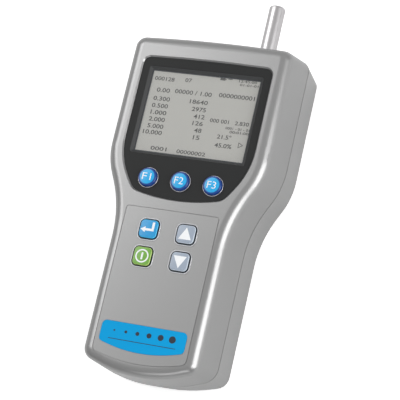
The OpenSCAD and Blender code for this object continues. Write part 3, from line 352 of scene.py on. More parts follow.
def new_finish(name, colour, gloss, metallic=0.0, per_metre=3000.0, flecks=0.04, tone=0.03,
               gloss_range=0.06, bump=0.05, bump_depth=0.00002, wear=0.06, coat=0.0):
    material = bpy.data.materials.new(name)
    material.use_nodes = True
    tree = material.node_tree
    shader = shader_of(material)
    shader.inputs["Metallic"].default_value = metallic
    shader.inputs["Coat Weight"].default_value = coat
    shader.inputs["Coat Roughness"].default_value = COAT_GLOSS
    where = tree.nodes.new("ShaderNodeTexCoord").outputs["Object"]
    fine_grain = tree.nodes.new("ShaderNodeGroup")
    fine_grain.node_tree = grain
    fine_grain.name = "grain"
    tree.links.new(where, fine_grain.inputs["Where"])
    fine_grain.inputs["Colour"].default_value = colour
    fine_grain.inputs["Per metre"].default_value = per_metre
    fine_grain.inputs["Flecks"].default_value = flecks
    fine_grain.inputs["Tone"].default_value = tone
    fine_grain.inputs["Gloss"].default_value = gloss
    fine_grain.inputs["Gloss range"].default_value = gloss_range
    rubbed = tree.nodes.new("ShaderNodeGroup")
    rubbed.node_tree = scuffs
    rubbed.inputs["Amount"].default_value = wear
    tree.links.new(where, rubbed.inputs["Where"])
    tree.links.new(fine_grain.outputs["Roughness"], rubbed.inputs["Roughness"])
    relief = tree.nodes.new("ShaderNodeBump")
    relief.inputs["Strength"].default_value = bump
    relief.inputs["Distance"].default_value = bump_depth
    tree.links.new(fine_grain.outputs["Height"], relief.inputs["Height"])
    tree.links.new(fine_grain.outputs["Colour"], shader.inputs["Base Color"])
    tree.links.new(rubbed.outputs["Roughness"], shader.inputs["Roughness"])
    tree.links.new(relief.outputs["Normal"], shader.inputs["Normal"])
    return material


print("finish helper is ready")

# %% [markdown]
# The panel's sloped edge is painted lighter than its face, as a painted highlight, and a key cap is
# painted dark on its side and light at its rim, as painted shade and a painted highlight. Both are
# colours that follow the height, which is read from the object's own coordinates and sent through a
# colour ramp.

# %% Colour by height
def by_height(material, low, high, stops):
    """Colours by height in metres. A stop is a share of the way up, and a colour."""
    tree = material.node_tree
    where = [n for n in tree.nodes if n.type == "TEX_COORD"][0].outputs["Object"]
    axes = tree.nodes.new("ShaderNodeSeparateXYZ")
    tree.links.new(where, axes.inputs[0])
    share = tree.nodes.new("ShaderNodeGroup")
    share.node_tree = height_share
    share.inputs["Low"].default_value = low
    share.inputs["High"].default_value = high
    tree.links.new(axes.outputs["Z"], share.inputs["Height"])
    ramp = tree.nodes.new("ShaderNodeValToRGB")
    while len(ramp.color_ramp.elements) < len(stops):
        ramp.color_ramp.elements.new(1.0)
    for element, (place_on, colour) in zip(ramp.color_ramp.elements, stops):
        element.position = place_on
        element.color = colour
    tree.links.new(share.outputs["Share"], ramp.inputs["Fac"])
    tree.links.new(ramp.outputs["Color"], tree.nodes["grain"].inputs["Colour"])
    return material


print("height colouring is ready")

# %% Housing and display finishes
silver = new_finish("silver satin paint", linear(156, 156, 156), 0.3, metallic=0.6, per_metre=4200,
                    flecks=0.08, tone=0.025, gloss_range=0.03, wear=0.02, coat=0.15)
shader_of(silver).inputs["Coat Roughness"].default_value = 0.2
charcoal = new_finish("charcoal panel", linear(34, 35, 35), 0.5, per_metre=2600, flecks=0.12,
                      bump=0.2, bump_depth=0.00004, wear=0.1)
shader_of(charcoal).inputs["Specular IOR Level"].default_value = 0.25
panel_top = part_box("display_panel")[1].z
# The panel's sloped edge is painted a lighter grey than its face, a painted highlight.
slope_h = 0.0003
by_height(charcoal, panel_top - slope_h, panel_top,
          [(0.0, linear(66, 67, 68)), (0.8, linear(34, 35, 35))])
screen_glass = new_finish("screen surface", linear(171, 170, 165), 0.5, per_metre=900,
                          flecks=0.015, tone=0.05, bump=0.0)
diffuser = new_finish("white diffuser", linear(226, 226, 222), 0.55, per_metre=1500, flecks=0.02)
blackened = new_finish("blackened steel frame", linear(16, 16, 18), 0.5, metallic=0.3, flecks=0.2)
badge_film = new_finish("badge film", linear(0, 158, 220), 0.6, per_metre=2200, flecks=0.03,
                        tone=0.04, bump=0.06, wear=0.08)
shader_of(badge_film).inputs["Specular IOR Level"].default_value = 0.15
print("silver, charcoal, screen, diffuser, frame and badge finishes are made")

# %% [markdown]
# The window is so thin that it only adds a faint reflection to what lies under it. A see-through
# coat with a low alpha does that without the noise of real refraction.

# %% Window finish
window = bpy.data.materials.new("clear window")
window.use_nodes = True
window_tree = window.node_tree
window_shader = shader_of(window)
smudge_per_metre = 55.0
least_haze = 0.03
haze_range = 0.02
window_shader.inputs["Base Color"].default_value = (0.9, 0.92, 0.92, 1)
window_shader.inputs["Roughness"].default_value = 0.12
window_where = window_tree.nodes.new("ShaderNodeTexCoord").outputs["Object"]
smudge = noise_node(window_tree, window_where, smudge_per_metre)
added_haze = math_node(window_tree, "MULTIPLY", smudge, haze_range)
haze = math_node(window_tree, "ADD", added_haze, least_haze)
window_tree.links.new(haze, window_shader.inputs["Alpha"])
print("the window lets about 96 percent through")

# %% [markdown]
# ## Clear coloured keys
# The caps are tinted plastic. Their colour follows the height: the side is painted deep in colour
# as painted shade, a light rim between side and top is a painted highlight, and the top keeps the
# cap's own colour. A colour that follows the height gives that from every angle.

# %% Key finishes
f_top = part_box("key_f1")[1].z
k_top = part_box("key_enter")[1].z
CAP_SHADE_H = 0.0016
RING_LOW = 0.00034
RING_HIGH = 0.00028


def key_finish(name, low, high, stops):
    material = new_finish(name, stops[-1][1], 0.3, per_metre=2500, flecks=0.03, bump=0.02, coat=0.2)
    return by_height(material, low, high, stops)


# The side colour is painted shade and the rim colour a painted highlight. The face colour is the
# cap's own.
def cap_finish(name, side, rim, face):
    stops = [(0.0, side), (0.50, side), (0.60, rim), (0.86, rim), (0.97, face)]
    return key_finish(name, k_top - CAP_SHADE_H, k_top, stops)


# On the function keys the navy low edge is painted shade on the cap's side.
round_blue = key_finish("round key blue", f_top - RING_LOW, f_top - RING_HIGH,
                        [(0.0, linear(6, 62, 140)), (1.0, linear(24, 170, 230))])
square_blue = cap_finish("square key blue", linear(8, 56, 112), linear(76, 196, 240),
                         linear(30, 154, 214))
square_grey = cap_finish("square key grey", linear(44, 60, 80), linear(206, 217, 228),
                         linear(158, 170, 186))
square_green = cap_finish("square key green", linear(44, 72, 26), linear(190, 216, 124),
                          linear(116, 170, 66))
legend_white = new_finish("legend white", linear(244, 246, 248), 0.4, per_metre=3000, flecks=0.02,
                          bump=0.03)
print("key tops in mm:", in_mm((f_top, k_top)))

# %% [markdown]
# ## Metals
# The inlet tube is turned and polished, so its marks run round it and change only along its
# length. The other metals are plated or pressed and share one helper with different colours.

# %% Metal finishes
LATHE_GLOSS_RANGE = 0.1
LATHE_BUMP = 0.06
LATHE_DEPTH = 0.00001


def metal_finish(name, colour, gloss, axis, per_metre):
    material = bpy.data.materials.new(name)
    material.use_nodes = True
    tree = material.node_tree
    shader = shader_of(material)
    shader.inputs["Metallic"].default_value = 1.0
    where = tree.nodes.new("ShaderNodeTexCoord").outputs["Object"]
    axes = tree.nodes.new("ShaderNodeSeparateXYZ")
    tree.links.new(where, axes.inputs[0])
    lathe = tree.nodes.new("ShaderNodeGroup")
    lathe.node_tree = turned
    lathe.inputs["Per metre"].default_value = per_metre
    lathe.inputs["Gloss"].default_value = gloss
    lathe.inputs["Gloss range"].default_value = LATHE_GLOSS_RANGE
    tree.links.new(axes.outputs[axis], lathe.inputs["Along"])
    tone = tree.nodes.new("ShaderNodeGroup")
    tone.node_tree = grain
    tone.inputs["Colour"].default_value = colour
    tone.inputs["Per metre"].default_value = 2500
    tone.inputs["Flecks"].default_value = 0.03
    tree.links.new(where, tone.inputs["Where"])
    relief = tree.nodes.new("ShaderNodeBump")
    relief.inputs["Strength"].default_value = LATHE_BUMP
    relief.inputs["Distance"].default_value = LATHE_DEPTH
    tree.links.new(lathe.outputs["Height"], relief.inputs["Height"])
    tree.links.new(tone.outputs["Colour"], shader.inputs["Base Color"])
    tree.links.new(lathe.outputs["Roughness"], shader.inputs["Roughness"])
    tree.links.new(relief.outputs["Normal"], shader.inputs["Normal"])
    return material


polished = metal_finish("polished tube", linear(206, 204, 205), 0.34, "Y", 3500.0)
plated = metal_finish("plated steel", linear(200, 202, 205), 0.24, "Z", 2800.0)
brass = metal_finish("turned brass", linear(214, 178, 96), 0.25, "Z", 2600.0)
tinned = metal_finish("tinned sheet", linear(206, 208, 208), 0.34, "X", 900.0)
motor_can = metal_finish("motor can", linear(176, 178, 180), 0.3, "Y", 1800.0)
print("five metals are made")

# %% [markdown]
# The pieces inside are dressed too, each as what it is: coated boards, moulded plastic, rubber,
# silicone, anodised metal and shrink film. They differ mostly in grain size and gloss.

# %% Finishes inside the housing
circuit = new_finish("board mask", linear(22, 92, 48), 0.3, per_metre=700, flecks=0.25, bump=0.3,
                     coat=0.3)
black_plastic = new_finish("black plastic", linear(26, 27, 29), 0.45, per_metre=2600, flecks=0.15,
                           bump=0.25)
white_plastic = new_finish("white plastic", linear(232, 232, 228), 0.4, per_metre=2600, flecks=0.03)
rubber = new_finish("black rubber", linear(22, 22, 23), 0.75, per_metre=1800, flecks=0.2, bump=0.35)
silicone = new_finish("silicone hose", linear(208, 202, 188), 0.45, per_metre=1200, flecks=0.05,
                      bump=0.15)
anodised = new_finish("dark anodised block", linear(44, 45, 48), 0.38, metallic=0.85,
                      per_metre=2400, flecks=0.1)
filter_body = new_finish("filter body", linear(214, 220, 222), 0.28, per_metre=1300, flecks=0.04,
                         coat=0.2)
shrink_film = new_finish("shrink film", linear(38, 92, 160), 0.22, per_metre=500, flecks=0.1,
                         bump=0.3, coat=0.3)
print("finishes for the inside are made")

# %% [markdown]
# ## Giving each CAD node its finish
# A CAD node keeps its shape and only changes its material. The list below goes from the outside
# in.

# %% Assign the finishes
node_finish = {
    "front_shell": silver, "rear_shell": silver, "battery_cover": silver, "keypad_overlay": silver,
    "display_panel": charcoal, "display_window": window, "lcd_glass": screen_glass,
    "lcd_frame": blackened, "backlight": diffuser, "badge_plate": badge_film, "key_f1": round_blue,
    "key_f2": round_blue, "key_f3": round_blue, "key_enter": square_blue, "key_up": square_grey,
    "key_down": square_grey, "key_power": square_green, "inlet_tube": polished,
    "inlet_collar": plated, "inlet_seal": rubber, "inlet_sleeve": silicone, "usb_socket": tinned,
    "dc_jack": black_plastic, "climate_sensor": white_plastic, "tripod_insert": brass,
    "cover_screw": plated, "case_screws": plated, "board_screws": plated, "main_board": circuit,
    "key_switches": black_plastic, "board_chips": black_plastic, "buzzer": black_plastic,
    "optical_chamber": anodised, "chamber_screws": plated, "laser_module": brass,
    "beam_stop": black_plastic, "detector_board": circuit, "shield_can": tinned,
    "sample_hose": silicone, "exhaust_filter": filter_body, "pump_hose": silicone,
    "pump_head": black_plastic, "pump_motor": motor_can, "pump_rings": rubber,
    "battery_pack": shrink_film, "battery_contacts": brass,
}
for name, node in nodes.items():
    node.data.materials.clear()
    node.data.materials.append(node_finish[name])
print("finished", len(node_finish), "nodes; without one:", sorted(set(nodes) - set(node_finish)))

# %% [markdown]
# ## Flat shapes
# Many small things here start as the same few flat shapes: a plane, a disc, a plane with round
# corners, and a frame, which is such a plane with its middle taken out by an inset. They are
# pulled up to their thickness at the end.

# %% Flat shapes
PRINT_T = 0.00004
CORNER_STEPS = 6


def flat_plane(width, length, centre, z):
    start_fresh()
    bpy.ops.mesh.primitive_plane_add(size=1, location=(centre[0], centre[1], z))
    shape = bpy.context.object
    shape.scale = (width, length, 1)
    bake_place(shape)
    return shape


def flat_circle(corners, radius, centre, z, turn=0.0, stretch=1.0):
    start_fresh()
    bpy.ops.mesh.primitive_circle_add(vertices=corners, radius=radius, fill_type="NGON",
                                      location=(centre[0], centre[1], z), rotation=(0, 0, turn))
    shape = bpy.context.object
    shape.scale = (1, stretch, 1)
    bake_place(shape)
    return shape


def round_corners(shape, radius):
    pick(shape)
    bpy.ops.object.mode_set(mode="EDIT")
    bpy.ops.mesh.select_all(action="SELECT")
    bpy.ops.mesh.bevel(affect="VERTICES", offset=radius, segments=CORNER_STEPS)
    bpy.ops.object.mode_set(mode="OBJECT")
    return shape


def take_middle(shape, width):
    """Leaves a frame of this width along the edge of a flat shape."""
    pick(shape)
    bpy.ops.object.mode_set(mode="EDIT")
    bpy.ops.mesh.select_all(action="SELECT")
    bpy.ops.mesh.inset(thickness=width)
    bpy.ops.mesh.delete(type="FACE")
    bpy.ops.object.mode_set(mode="OBJECT")
    return shape


def thicken(shape, thick=PRINT_T):
    pick(shape)
    bpy.ops.object.mode_set(mode="EDIT")
    bpy.ops.mesh.select_all(action="SELECT")
    bpy.ops.mesh.extrude_region_move(TRANSFORM_OT_translate={"value": (0, 0, thick)})
    bpy.ops.object.mode_set(mode="OBJECT")
    outward(shape)
    return shape


def join(first, others):
    pick(first)
    for o in others:
        o.select_set(True)
    bpy.ops.object.join()
    return first


def middle_of(node):
    low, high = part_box(node)
    return (low + high) / 2, high.z


print("flat shapes are ready; print in mm is", in_mm((PRINT_T,)), "thick")

# %% [markdown]
# ## The front shell's rounded edge
# Inside the front shell stand six round screw bosses, and the middle two come up through the
# rounded edge by about a millimetre. On a merged copy of the shell, the faces of those two tips
# are picked by their direction, because a boss has only upright and level faces while the rounded
# edge has slanting ones. They are deleted, and the holes are filled along the rounded edge. Faces
# that lie flat beside each other are then merged, so that the shading follows the large faces and
# stays even.

# %% Copy of a CAD node
def copy_of(node, name):
    """A copy of a CAD node's mesh, with its loose triangles merged."""
    piece = bpy.data.objects.new(name, nodes[node].data.copy())
    bpy.context.scene.collection.objects.link(piece)
    piece.matrix_world = nodes[node].matrix_world
    bake_place(piece)
    bpy.ops.object.mode_set(mode="EDIT")
    bpy.ops.mesh.select_all(action="SELECT")
    bpy.ops.mesh.remove_doubles(threshold=COPY_MERGE)
    bpy.ops.object.mode_set(mode="OBJECT")
    bpy.ops.mesh.customdata_custom_splitnormals_clear()
    return piece


print("copies of CAD nodes are ready")

# %% Front shell without the boss tips
BOSS_X = 0.0492
BOSS_Y = 0.018776
BOSS_R = 0.00366
TIP_SIDE_X = 0.05142
TIP_LOW_Z = 0.0586
UPRIGHT = 0.02
LEVEL = 0.999
FLAT_ANGLE = 0.4
CREASE_ANGLE = 28
FACE_WEIGHT = 70


def tip_distance(point):
    return math.hypot(abs(point.x) - BOSS_X, point.y - BOSS_Y)


def boss_tip(face):
    upright_or_level = abs(face.normal.z) < UPRIGHT or face.normal.z > LEVEL
    in_tip = tip_distance(face.center) < BOSS_R and abs(face.center.x) > TIP_SIDE_X
    return upright_or_level and in_tip and face.center.z > TIP_LOW_Z


shell = copy_of("front_shell", "shell")
before = len(shell.data.polygons)
select_faces(shell, boss_tip)
bpy.ops.mesh.delete(type="FACE")
bpy.ops.mesh.select_mode(type="EDGE")
bpy.ops.mesh.select_non_manifold(extend=False, use_wire=False, use_boundary=True,
                                 use_multi_face=False, use_non_contiguous=False, use_verts=False)
open_edges = bpy.context.object.data.total_edge_sel
bpy.ops.mesh.fill()
bpy.ops.object.mode_set(mode="OBJECT")
print("boss tips:", before, "faces before,", len(shell.data.polygons), "after;", open_edges,
      "open edges filled")
pick(shell)
bpy.ops.object.mode_set(mode="EDIT")
bpy.ops.mesh.select_all(action="SELECT")
bpy.ops.mesh.dissolve_limited(angle_limit=math.radians(FLAT_ANGLE))
bpy.ops.object.mode_set(mode="OBJECT")
smooth(shell, CREASE_ANGLE)
even = shell.modifiers.new("even normals", "WEIGHTED_NORMAL")
even.keep_sharp = True
even.weight = FACE_WEIGHT
bpy.ops.object.modifier_apply(modifier=even.name)
finish_piece(shell, "front_shell_trimmed", silver, "housing")
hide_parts("front_shell")

# %% [markdown]
# ## Square key caps and their surrounds
# Each cap is a square with round corners, pulled up and softened along its top edge, and takes the
# place of the plain CAD cap. Its top is lower by one thickness of print, which leaves room for the
# legend. A dark frame of painted shade lies round it, in the gap, and a raised surround, painted
# lighter than the shell as a painted highlight, covers the edge of the opening. The overlay's own
# low lips are pressed flat first, so that they don't show outside the rounder surrounds.

# %% Overlay without its lips
lip_h = 0.00035
overlay_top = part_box("keypad_overlay")[1].z - lip_h
overlay = copy_of("keypad_overlay", "overlay")
select_faces(overlay, lambda f: f.center.z > overlay_top + lip_h / 2)
bpy.ops.transform.resize(value=(1, 1, 0), center_override=(0, 0, overlay_top))
bpy.ops.object.mode_set(mode="OBJECT")
outward(overlay)
finish_piece(overlay, "keypad_overlay_flat", silver, "housing")
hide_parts("keypad_overlay")

# %% Caps, gaps and surrounds
cap_half = 0.00575
cap_corner = 0.0026
cap_h = 0.0022
cap_edge = 0.0006
rim_depth = 0.00001
gap_w = 0.0008
gap_rise = 0.00008
gap_clearance = 0.00005
surround_w = 0.0007
surround_h = 0.0004
surround_edge = 0.0002
# The frames in the key gaps are dark sheets of painted shade. The same dark finish draws the line
# round the screen.
dark_line_and_gap_shade = new_finish("key gap", linear(20, 30, 40), 0.5, per_metre=2500, flecks=0.05)
# The surround is painted lighter than the shell's silver, a painted highlight on its raised edge.
surround_silver_highlight = new_finish("key surround", linear(200, 201, 204), 0.25, metallic=0.4,
                             per_metre=4200, flecks=0.03)
cap_slots = {"key_enter": "key_blue", "key_up": "key_grey", "key_down": "key_grey",
             "key_power": "key_green"}
for node, cap_slot in cap_slots.items():
    middle, top = middle_of(node)
    top = top - PRINT_T
    cap = flat_plane(2 * cap_half, 2 * cap_half, middle, top - cap_h)
    thicken(round_corners(cap, cap_corner), cap_h)
    select_edges(cap, lambda a, b: min(a.z, b.z) > top - rim_depth)
    bpy.ops.mesh.bevel(affect="EDGES", offset=cap_edge, segments=4, profile=0.5)
    bpy.ops.object.mode_set(mode="OBJECT")
    smooth(cap, 50)
    finish_piece(cap, node + "_cap", node_finish[node], node)
    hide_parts(node)
    half = cap_half + gap_w
    gap = flat_plane(2 * half, 2 * half, middle, overlay_top)
    round_corners(gap, cap_corner + gap_w)
    thicken(take_middle(gap, gap_w - gap_clearance), gap_rise)
    finish_piece(gap, node + "_gap", dark_line_and_gap_shade, "housing")
    half = half + surround_w
    surround = flat_plane(2 * half, 2 * half, middle, overlay_top)
    round_corners(surround, cap_corner + gap_w + surround_w)
    thicken(take_middle(surround, surround_w), surround_h)
    soften(surround, surround_edge, segments=3, angle=50)
    smooth(surround, 40)
    finish_piece(surround, node + "_surround", surround_silver_highlight, "housing")

# %% [markdown]
# ## Highlight beads round the function keys
# A thin bright bead stands round each function key, where the clear cap meets the panel. It is a
# painted highlight, standing in for the light that the edge of the hole catches. It is a torus that
# is half sunk in the panel.

# %% Beads
BEAD_RING_R = 0.00645
BEAD_R = 0.00019
# The bead's near-white colour is a painted highlight.
bead_highlight_silver = new_finish("bead", linear(224, 222, 230), 0.2, metallic=0.5, per_metre=4200,
                         flecks=0.03)
for number in (1, 2, 3):
    middle = middle_of("key_f" + str(number))[0]
    start_fresh()
    bpy.ops.mesh.primitive_torus_add(major_radius=BEAD_RING_R, minor_radius=BEAD_R,
                                     major_segments=72, minor_segments=10,
                                     location=(middle.x, middle.y, panel_top))
    bead = bpy.context.object
    smooth(bead, 60)
    finish_piece(bead, "highlight_bead_f" + str(number), bead_highlight_silver, "housing")

# %% [markdown]
# ## Print on the keys
# Legends are printed on, so each is a very thin raised shape in white. Letters start as text
# objects, which become meshes before they are placed. The signs start as plain flat shapes that
# are inset, stretched and joined.

# %% Text helper
TEXT_SIZE = 0.01


def flat_text(words, height, width, centre, z, thick, bold):
    """Text as a thin mesh, scaled to a cap height and a width, centred on a point."""
    start_fresh()
    bpy.ops.object.text_add(location=(0, 0, 0))
    label = bpy.context.object
    label.data.body = words
    label.data.size = TEXT_SIZE
    label.data.extrude = thick / 2
    label.data.offset = bold
    label.data.resolution_u = 3
    bpy.ops.object.convert(target="MESH")
    xs = [v.co.x for v in label.data.vertices]
    ys = [v.co.y for v in label.data.vertices]
    middle = Vector(((min(xs) + max(xs)) / 2, (min(ys) + max(ys)) / 2, 0))
    label.location = (-middle.x, -middle.y, 0)
    bake_place(label)
    label.scale = (width / (max(xs) - min(xs)), height / (max(ys) - min(ys)), 1)
    label.location = (centre[0], centre[1], z + thick / 2)
    bake_place(label)
    return label


print("text helper is ready")

# %% Numbers on the function keys
mark_h = 0.0045
mark_w = 0.0058
mark_shift = 0.0002
mark_sunk = 0.00009
mark_t = 0.0001
mark_bold = -0.00006
for number in (1, 2, 3):
    node = "key_f" + str(number)
    middle, top = middle_of(node)
    spot = (middle.x - mark_shift, middle.y)
    mark = flat_text("F" + str(number), mark_h, mark_w, spot, top - mark_sunk, mark_t, mark_bold)
    outward(mark)
    finish_piece(mark, "legend_f" + str(number), legend_white, node)

# %% [markdown]
# The two arrows are triangles: a circle of three corners, stretched to its height. The return sign
# is a bar with a foot turned up at its end and a triangle at its tip, joined into one mesh. The
# power sign is a ring, made by an inset whose middle is deleted, with a bar in it.

# %% Up and down arrows
arrow_r = 0.0049
arrow_stretch = 1.05
arrow_shift = 0.0009
for node, flip, shift in (("key_up", 0.0, -arrow_shift), ("key_down", math.pi, arrow_shift)):
    middle, top = middle_of(node)
    spot = (middle.x, middle.y + shift)
    arrow = flat_circle(3, arrow_r, spot, top - PRINT_T, flip, arrow_stretch)
    thicken(arrow)
    finish_piece(arrow, "legend_" + node, legend_white, node)

# %% Return sign
middle, top = middle_of("key_enter")
top = top - PRINT_T
bar_l, bar_w, bar_x = 0.0057, 0.0015, 0.0008
foot_w, foot_l, foot_x, foot_y = 0.0016, 0.0042, 0.00285, 0.00225
tip_r, tip_x = 0.0021, 0.0031
line_y = middle.y - 0.0006
bar = flat_plane(bar_l, bar_w, (middle.x + bar_x, line_y), top)
foot = flat_plane(foot_w, foot_l, (middle.x + foot_x, middle.y + foot_y), top)
tip = flat_circle(3, tip_r, (middle.x - tip_x, line_y), top, math.pi / 2)
enter_sign = thicken(join(bar, [foot, tip]))
finish_piece(enter_sign, "legend_enter", legend_white, "key_enter")

# %% Power sign
middle, top = middle_of("key_power")
top = top - PRINT_T
ring_r, ring_w = 0.0043, 0.0009
stroke_w, stroke_l, stroke_round = 0.0012, 0.0046, 0.0005
ring_sign = take_middle(flat_circle(48, ring_r, middle, top), ring_w)
stroke = round_corners(flat_plane(stroke_w, stroke_l, middle, top), stroke_round)
power_sign = thicken(join(ring_sign, [stroke]))
finish_piece(power_sign, "legend_power", legend_white, "key_power")

# %% [markdown]
# ## The screen
# The screen shows rows of figures in dark grey. Each row is a text with a given start, end and
# height, lying just above the screen's surface and below the window. They are joined into one
# mesh.

# %% Screen print finish
segment_grey = new_finish("screen figures", linear(58, 58, 56), 0.6, per_metre=2000, flecks=0.05,
                          bump=0.0)
screen_low, screen_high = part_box("lcd_glass")
screen_mid = (screen_low + screen_high) / 2
just_above = 0.00001
screen_z = screen_high.z + just_above
print("screen surface in mm:", in_mm((screen_high.z,)))

# %% [markdown]
# A dark line runs round the screen, where its edge meets the black frame.

# %% Dark line round the screen
line_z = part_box("lcd_frame")[1].z + just_above
line_across, line_along = 0.0735, 0.0555
line_w, line_t = 0.0008, 0.00003
screen_edge = flat_plane(line_across, line_along, screen_mid, line_z)
thicken(take_middle(screen_edge, line_w), line_t)
finish_piece(screen_edge, "screen_edge", dark_line_and_gap_shade, "housing")

# %% [markdown]
# The figures come as a table, one text to a line, so that each can be moved on its own. The charge
# and running marks are flat shapes.

# %% Screen figures
# text, left, right, middle height and letter height, in mm from the middle of the screen
rows = [
    ("000128", -34.4, -20.9, 22.2, 2.7),
    ("07", -13.7, -9.2, 22.9, 2.7),
    ("12:45:00", 21.8, 33.8, 26.1, 1.6),
    ("01-01-01", 22.9, 35.2, 23.7, 1.6),
    ("0.00", -31.2, -22.2, 14.5, 2.9),
    ("00000 / 1.00", -18.8, 6.1, 14.9, 2.9),
    ("0000000001", 10.8, 34.7, 15.5, 2.9),
    ("0.300", -32.1, -20.8, 8.7, 2.9),
    ("0.500", -32.0, -21.0, 3.9, 2.9),
    ("1.000", -31.8, -21.0, -0.7, 2.9),
    ("2.000", -31.8, -20.9, -5.3, 2.9),
    ("5.000", -31.7, -20.8, -9.9, 2.9),
    ("10.000", -33.7, -20.8, -14.1, 2.9),
    ("18640", -7.3, 4.8, 9.2, 2.9),
    ("2975", -4.8, 4.7, 4.3, 2.9),
    ("412", -2.5, 4.9, -0.4, 2.9),
    ("126", -2.2, 4.8, -4.9, 2.9),
    ("48", 0.0, 4.9, -9.5, 2.9),
    ("15", 0.3, 4.7, -14.2, 2.9),
    ("000 001", 8.8, 21.4, -1.7, 2.6),
    ("2.830", 25.5, 34.6, -1.8, 2.6),
    ("0001 - 01 - 01", 20.0, 35.8, -5.6, 1.7),
    ("00:01:00", 23.2, 35.8, -7.9, 1.7),
    ("21.5°", 15.8, 25.2, -11.7, 2.9),
    ("45.0%", 15.5, 26.7, -17.4, 2.9),
    ("0001", -25.9, -15.1, -24.4, 2.6),
    ("00000002", -8.3, 10.9, -24.6, 2.6),
]
figure_t = 0.00002
figure_bold = 0.00016
made_rows = []
for words, left, right_end, y, height in rows:
    spot = (screen_mid.x + (left + right_end) / 2 * MM, screen_mid.y + y * MM)
    width = (right_end - left) * MM
    made_rows.append(flat_text(words, height * MM, width, spot, screen_z, figure_t, figure_bold))
figures = join(made_rows[0], made_rows[1:])
finish_piece(figures, "screen_figures", segment_grey, "housing")

# %% Screen signs: a charge mark and a running mark
def on_screen(x, y):
    return screen_mid.x + x, screen_mid.y + y


charge_l, charge_w, charge_at = 0.0034, 0.0016, (0.011, 0.0262)
end_l, end_w, end_at = 0.0006, 0.0009, (0.0131, 0.0262)
dash_l, dash_w, dash_at = 0.0030, 0.0005, (0.0160, 0.0266)
run_r, run_w, run_at = 0.0022, 0.0004, (0.0318, -0.0158)
charge_sign = flat_plane(charge_l, charge_w, on_screen(*charge_at), screen_z)
charge_end = flat_plane(end_l, end_w, on_screen(*end_at), screen_z)
dash_sign = flat_plane(dash_l, dash_w, on_screen(*dash_at), screen_z)
run_sign = take_middle(flat_circle(3, run_r, on_screen(*run_at), screen_z, -math.pi / 2), run_w)
signs = thicken(join(charge_sign, [charge_end, dash_sign, run_sign]), figure_t)
finish_piece(signs, "screen_signs", segment_grey, "housing")

# %% [markdown]
# ## The badge
# The badge carries plain print: a row of dots that grow in size, as the grains that the instrument
# counts do, over a fine line. Each dot is a flat disc that is pulled up by the thickness of the
# ink.

# %% Badge print
ink = new_finish("badge ink", linear(18, 34, 52), 0.45, per_metre=2500, flecks=0.05, bump=0.03)
badge_low, badge_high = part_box("badge_plate")
badge_mid = (badge_low + badge_high) / 2
first_dot_r, dot_growth = 0.0006, 0.00032
first_dot_x, dot_pitch, dots_y = -0.0190, 0.0076, 0.0030
rule_l, rule_w, rule_y = 0.0440, 0.0004, -0.0022
dots = []
for i in range(6):
    spot = (badge_mid.x + first_dot_x + dot_pitch * i, badge_mid.y + dots_y)
    dots.append(flat_circle(28, first_dot_r + dot_growth * i, spot, badge_high.z))
dots.append(flat_plane(rule_l, rule_w, (badge_mid.x, badge_mid.y + rule_y), badge_high.z))
badge_print = thicken(join(dots[0], dots[1:]))
finish_piece(badge_print, "badge_print", ink, "housing")

# %% [markdown]
# ## Screws with a cross recess
# The CAD screws are plain. Each head gets a cross recess: a cross-shaped cutter, made of two boxes
# whose inner ends are drawn in, is taken out of the head with a Boolean modifier. One screw is
# modelled for the case and one for the cover, and the copies each have their own mesh.

# %% Screw helper
DRAWN_IN = 0.55
ARM_WIDTH = 0.3
RECESS_DEPTH = 0.6
HEAD_EDGE = 0.12
FACES_UP = 0.9


def cross_cutter(width, arm, depth):
    start_fresh()
    bars = []
    for turn in (0.0, math.pi / 2):
        bpy.ops.mesh.primitive_cube_add(size=1, location=(0, 0, 0), rotation=(0, 0, turn))
        bar_piece = bpy.context.object
        bar_piece.scale = (width, arm, 2 * depth)
        bake_place(bar_piece)
        select_faces(bar_piece, lambda f: f.normal.z > FACES_UP)
        bpy.ops.transform.resize(value=(DRAWN_IN, DRAWN_IN, 1))
        bpy.ops.object.mode_set(mode="OBJECT")
        bars.append(bar_piece)
    return bars


def screw_shape(head_r, head_h, shank_r, shank_l, arm):
    """A screw whose head faces down at z = 0 and whose shank points up."""
    start_fresh()
    bpy.ops.mesh.primitive_cylinder_add(vertices=40, radius=head_r, depth=head_h,
                                        location=(0, 0, head_h / 2))
    screw = bpy.context.object
    bake_place(screw)
    select_faces(screw, lambda f: f.normal.z > FACES_UP)
    bpy.ops.mesh.inset(thickness=head_r - shank_r)
    bpy.ops.mesh.extrude_region_move(TRANSFORM_OT_translate={"value": (0, 0, shank_l)})
    bpy.ops.object.mode_set(mode="OBJECT")
    for cutter in cross_cutter(arm * ARM_WIDTH, arm, head_h * RECESS_DEPTH):
        pick(screw)
        cut = screw.modifiers.new("recess", "BOOLEAN")
        cut.object = cutter
        cut.solver = "EXACT"
        bpy.ops.object.modifier_apply(modifier=cut.name)
        bpy.data.objects.remove(cutter)
    soften(screw, head_h * HEAD_EDGE, segments=2, angle=50)
    smooth(screw, 40)
    return screw


MICRONS_PER_METRE = 1e6


def islands(node):
    """The middle (x, y) and height range of each separate solid in a CAD node."""
    mesh = nodes[node].data
    parent = list(range(len(mesh.vertices)))

    def find(i):
        while parent[i] != i:
            parent[i] = parent[parent[i]]
            i = parent[i]
        return i

    near = {}
    for i, v in enumerate(mesh.vertices):
        key = tuple(round(c * MICRONS_PER_METRE) for c in v.co)
        if key in near:
            parent[find(i)] = find(near[key])
        else:
            near[key] = i
    for e in mesh.edges:
        parent[find(e.vertices[0])] = find(e.vertices[1])
    groups = {}
    for i, v in enumerate(mesh.vertices):
        groups.setdefault(find(i), []).append(v.co)
    result = []
    for co in groups.values():
        xs, ys, zs = zip(*co)
        result.append(((min(xs) + max(xs)) / 2, (min(ys) + max(ys)) / 2, min(zs), max(zs)))
    return sorted(result)


case_spots = islands("case_screws")
print("case screws stand at, in mm:", [in_mm(s[:2], 1) for s in case_spots])

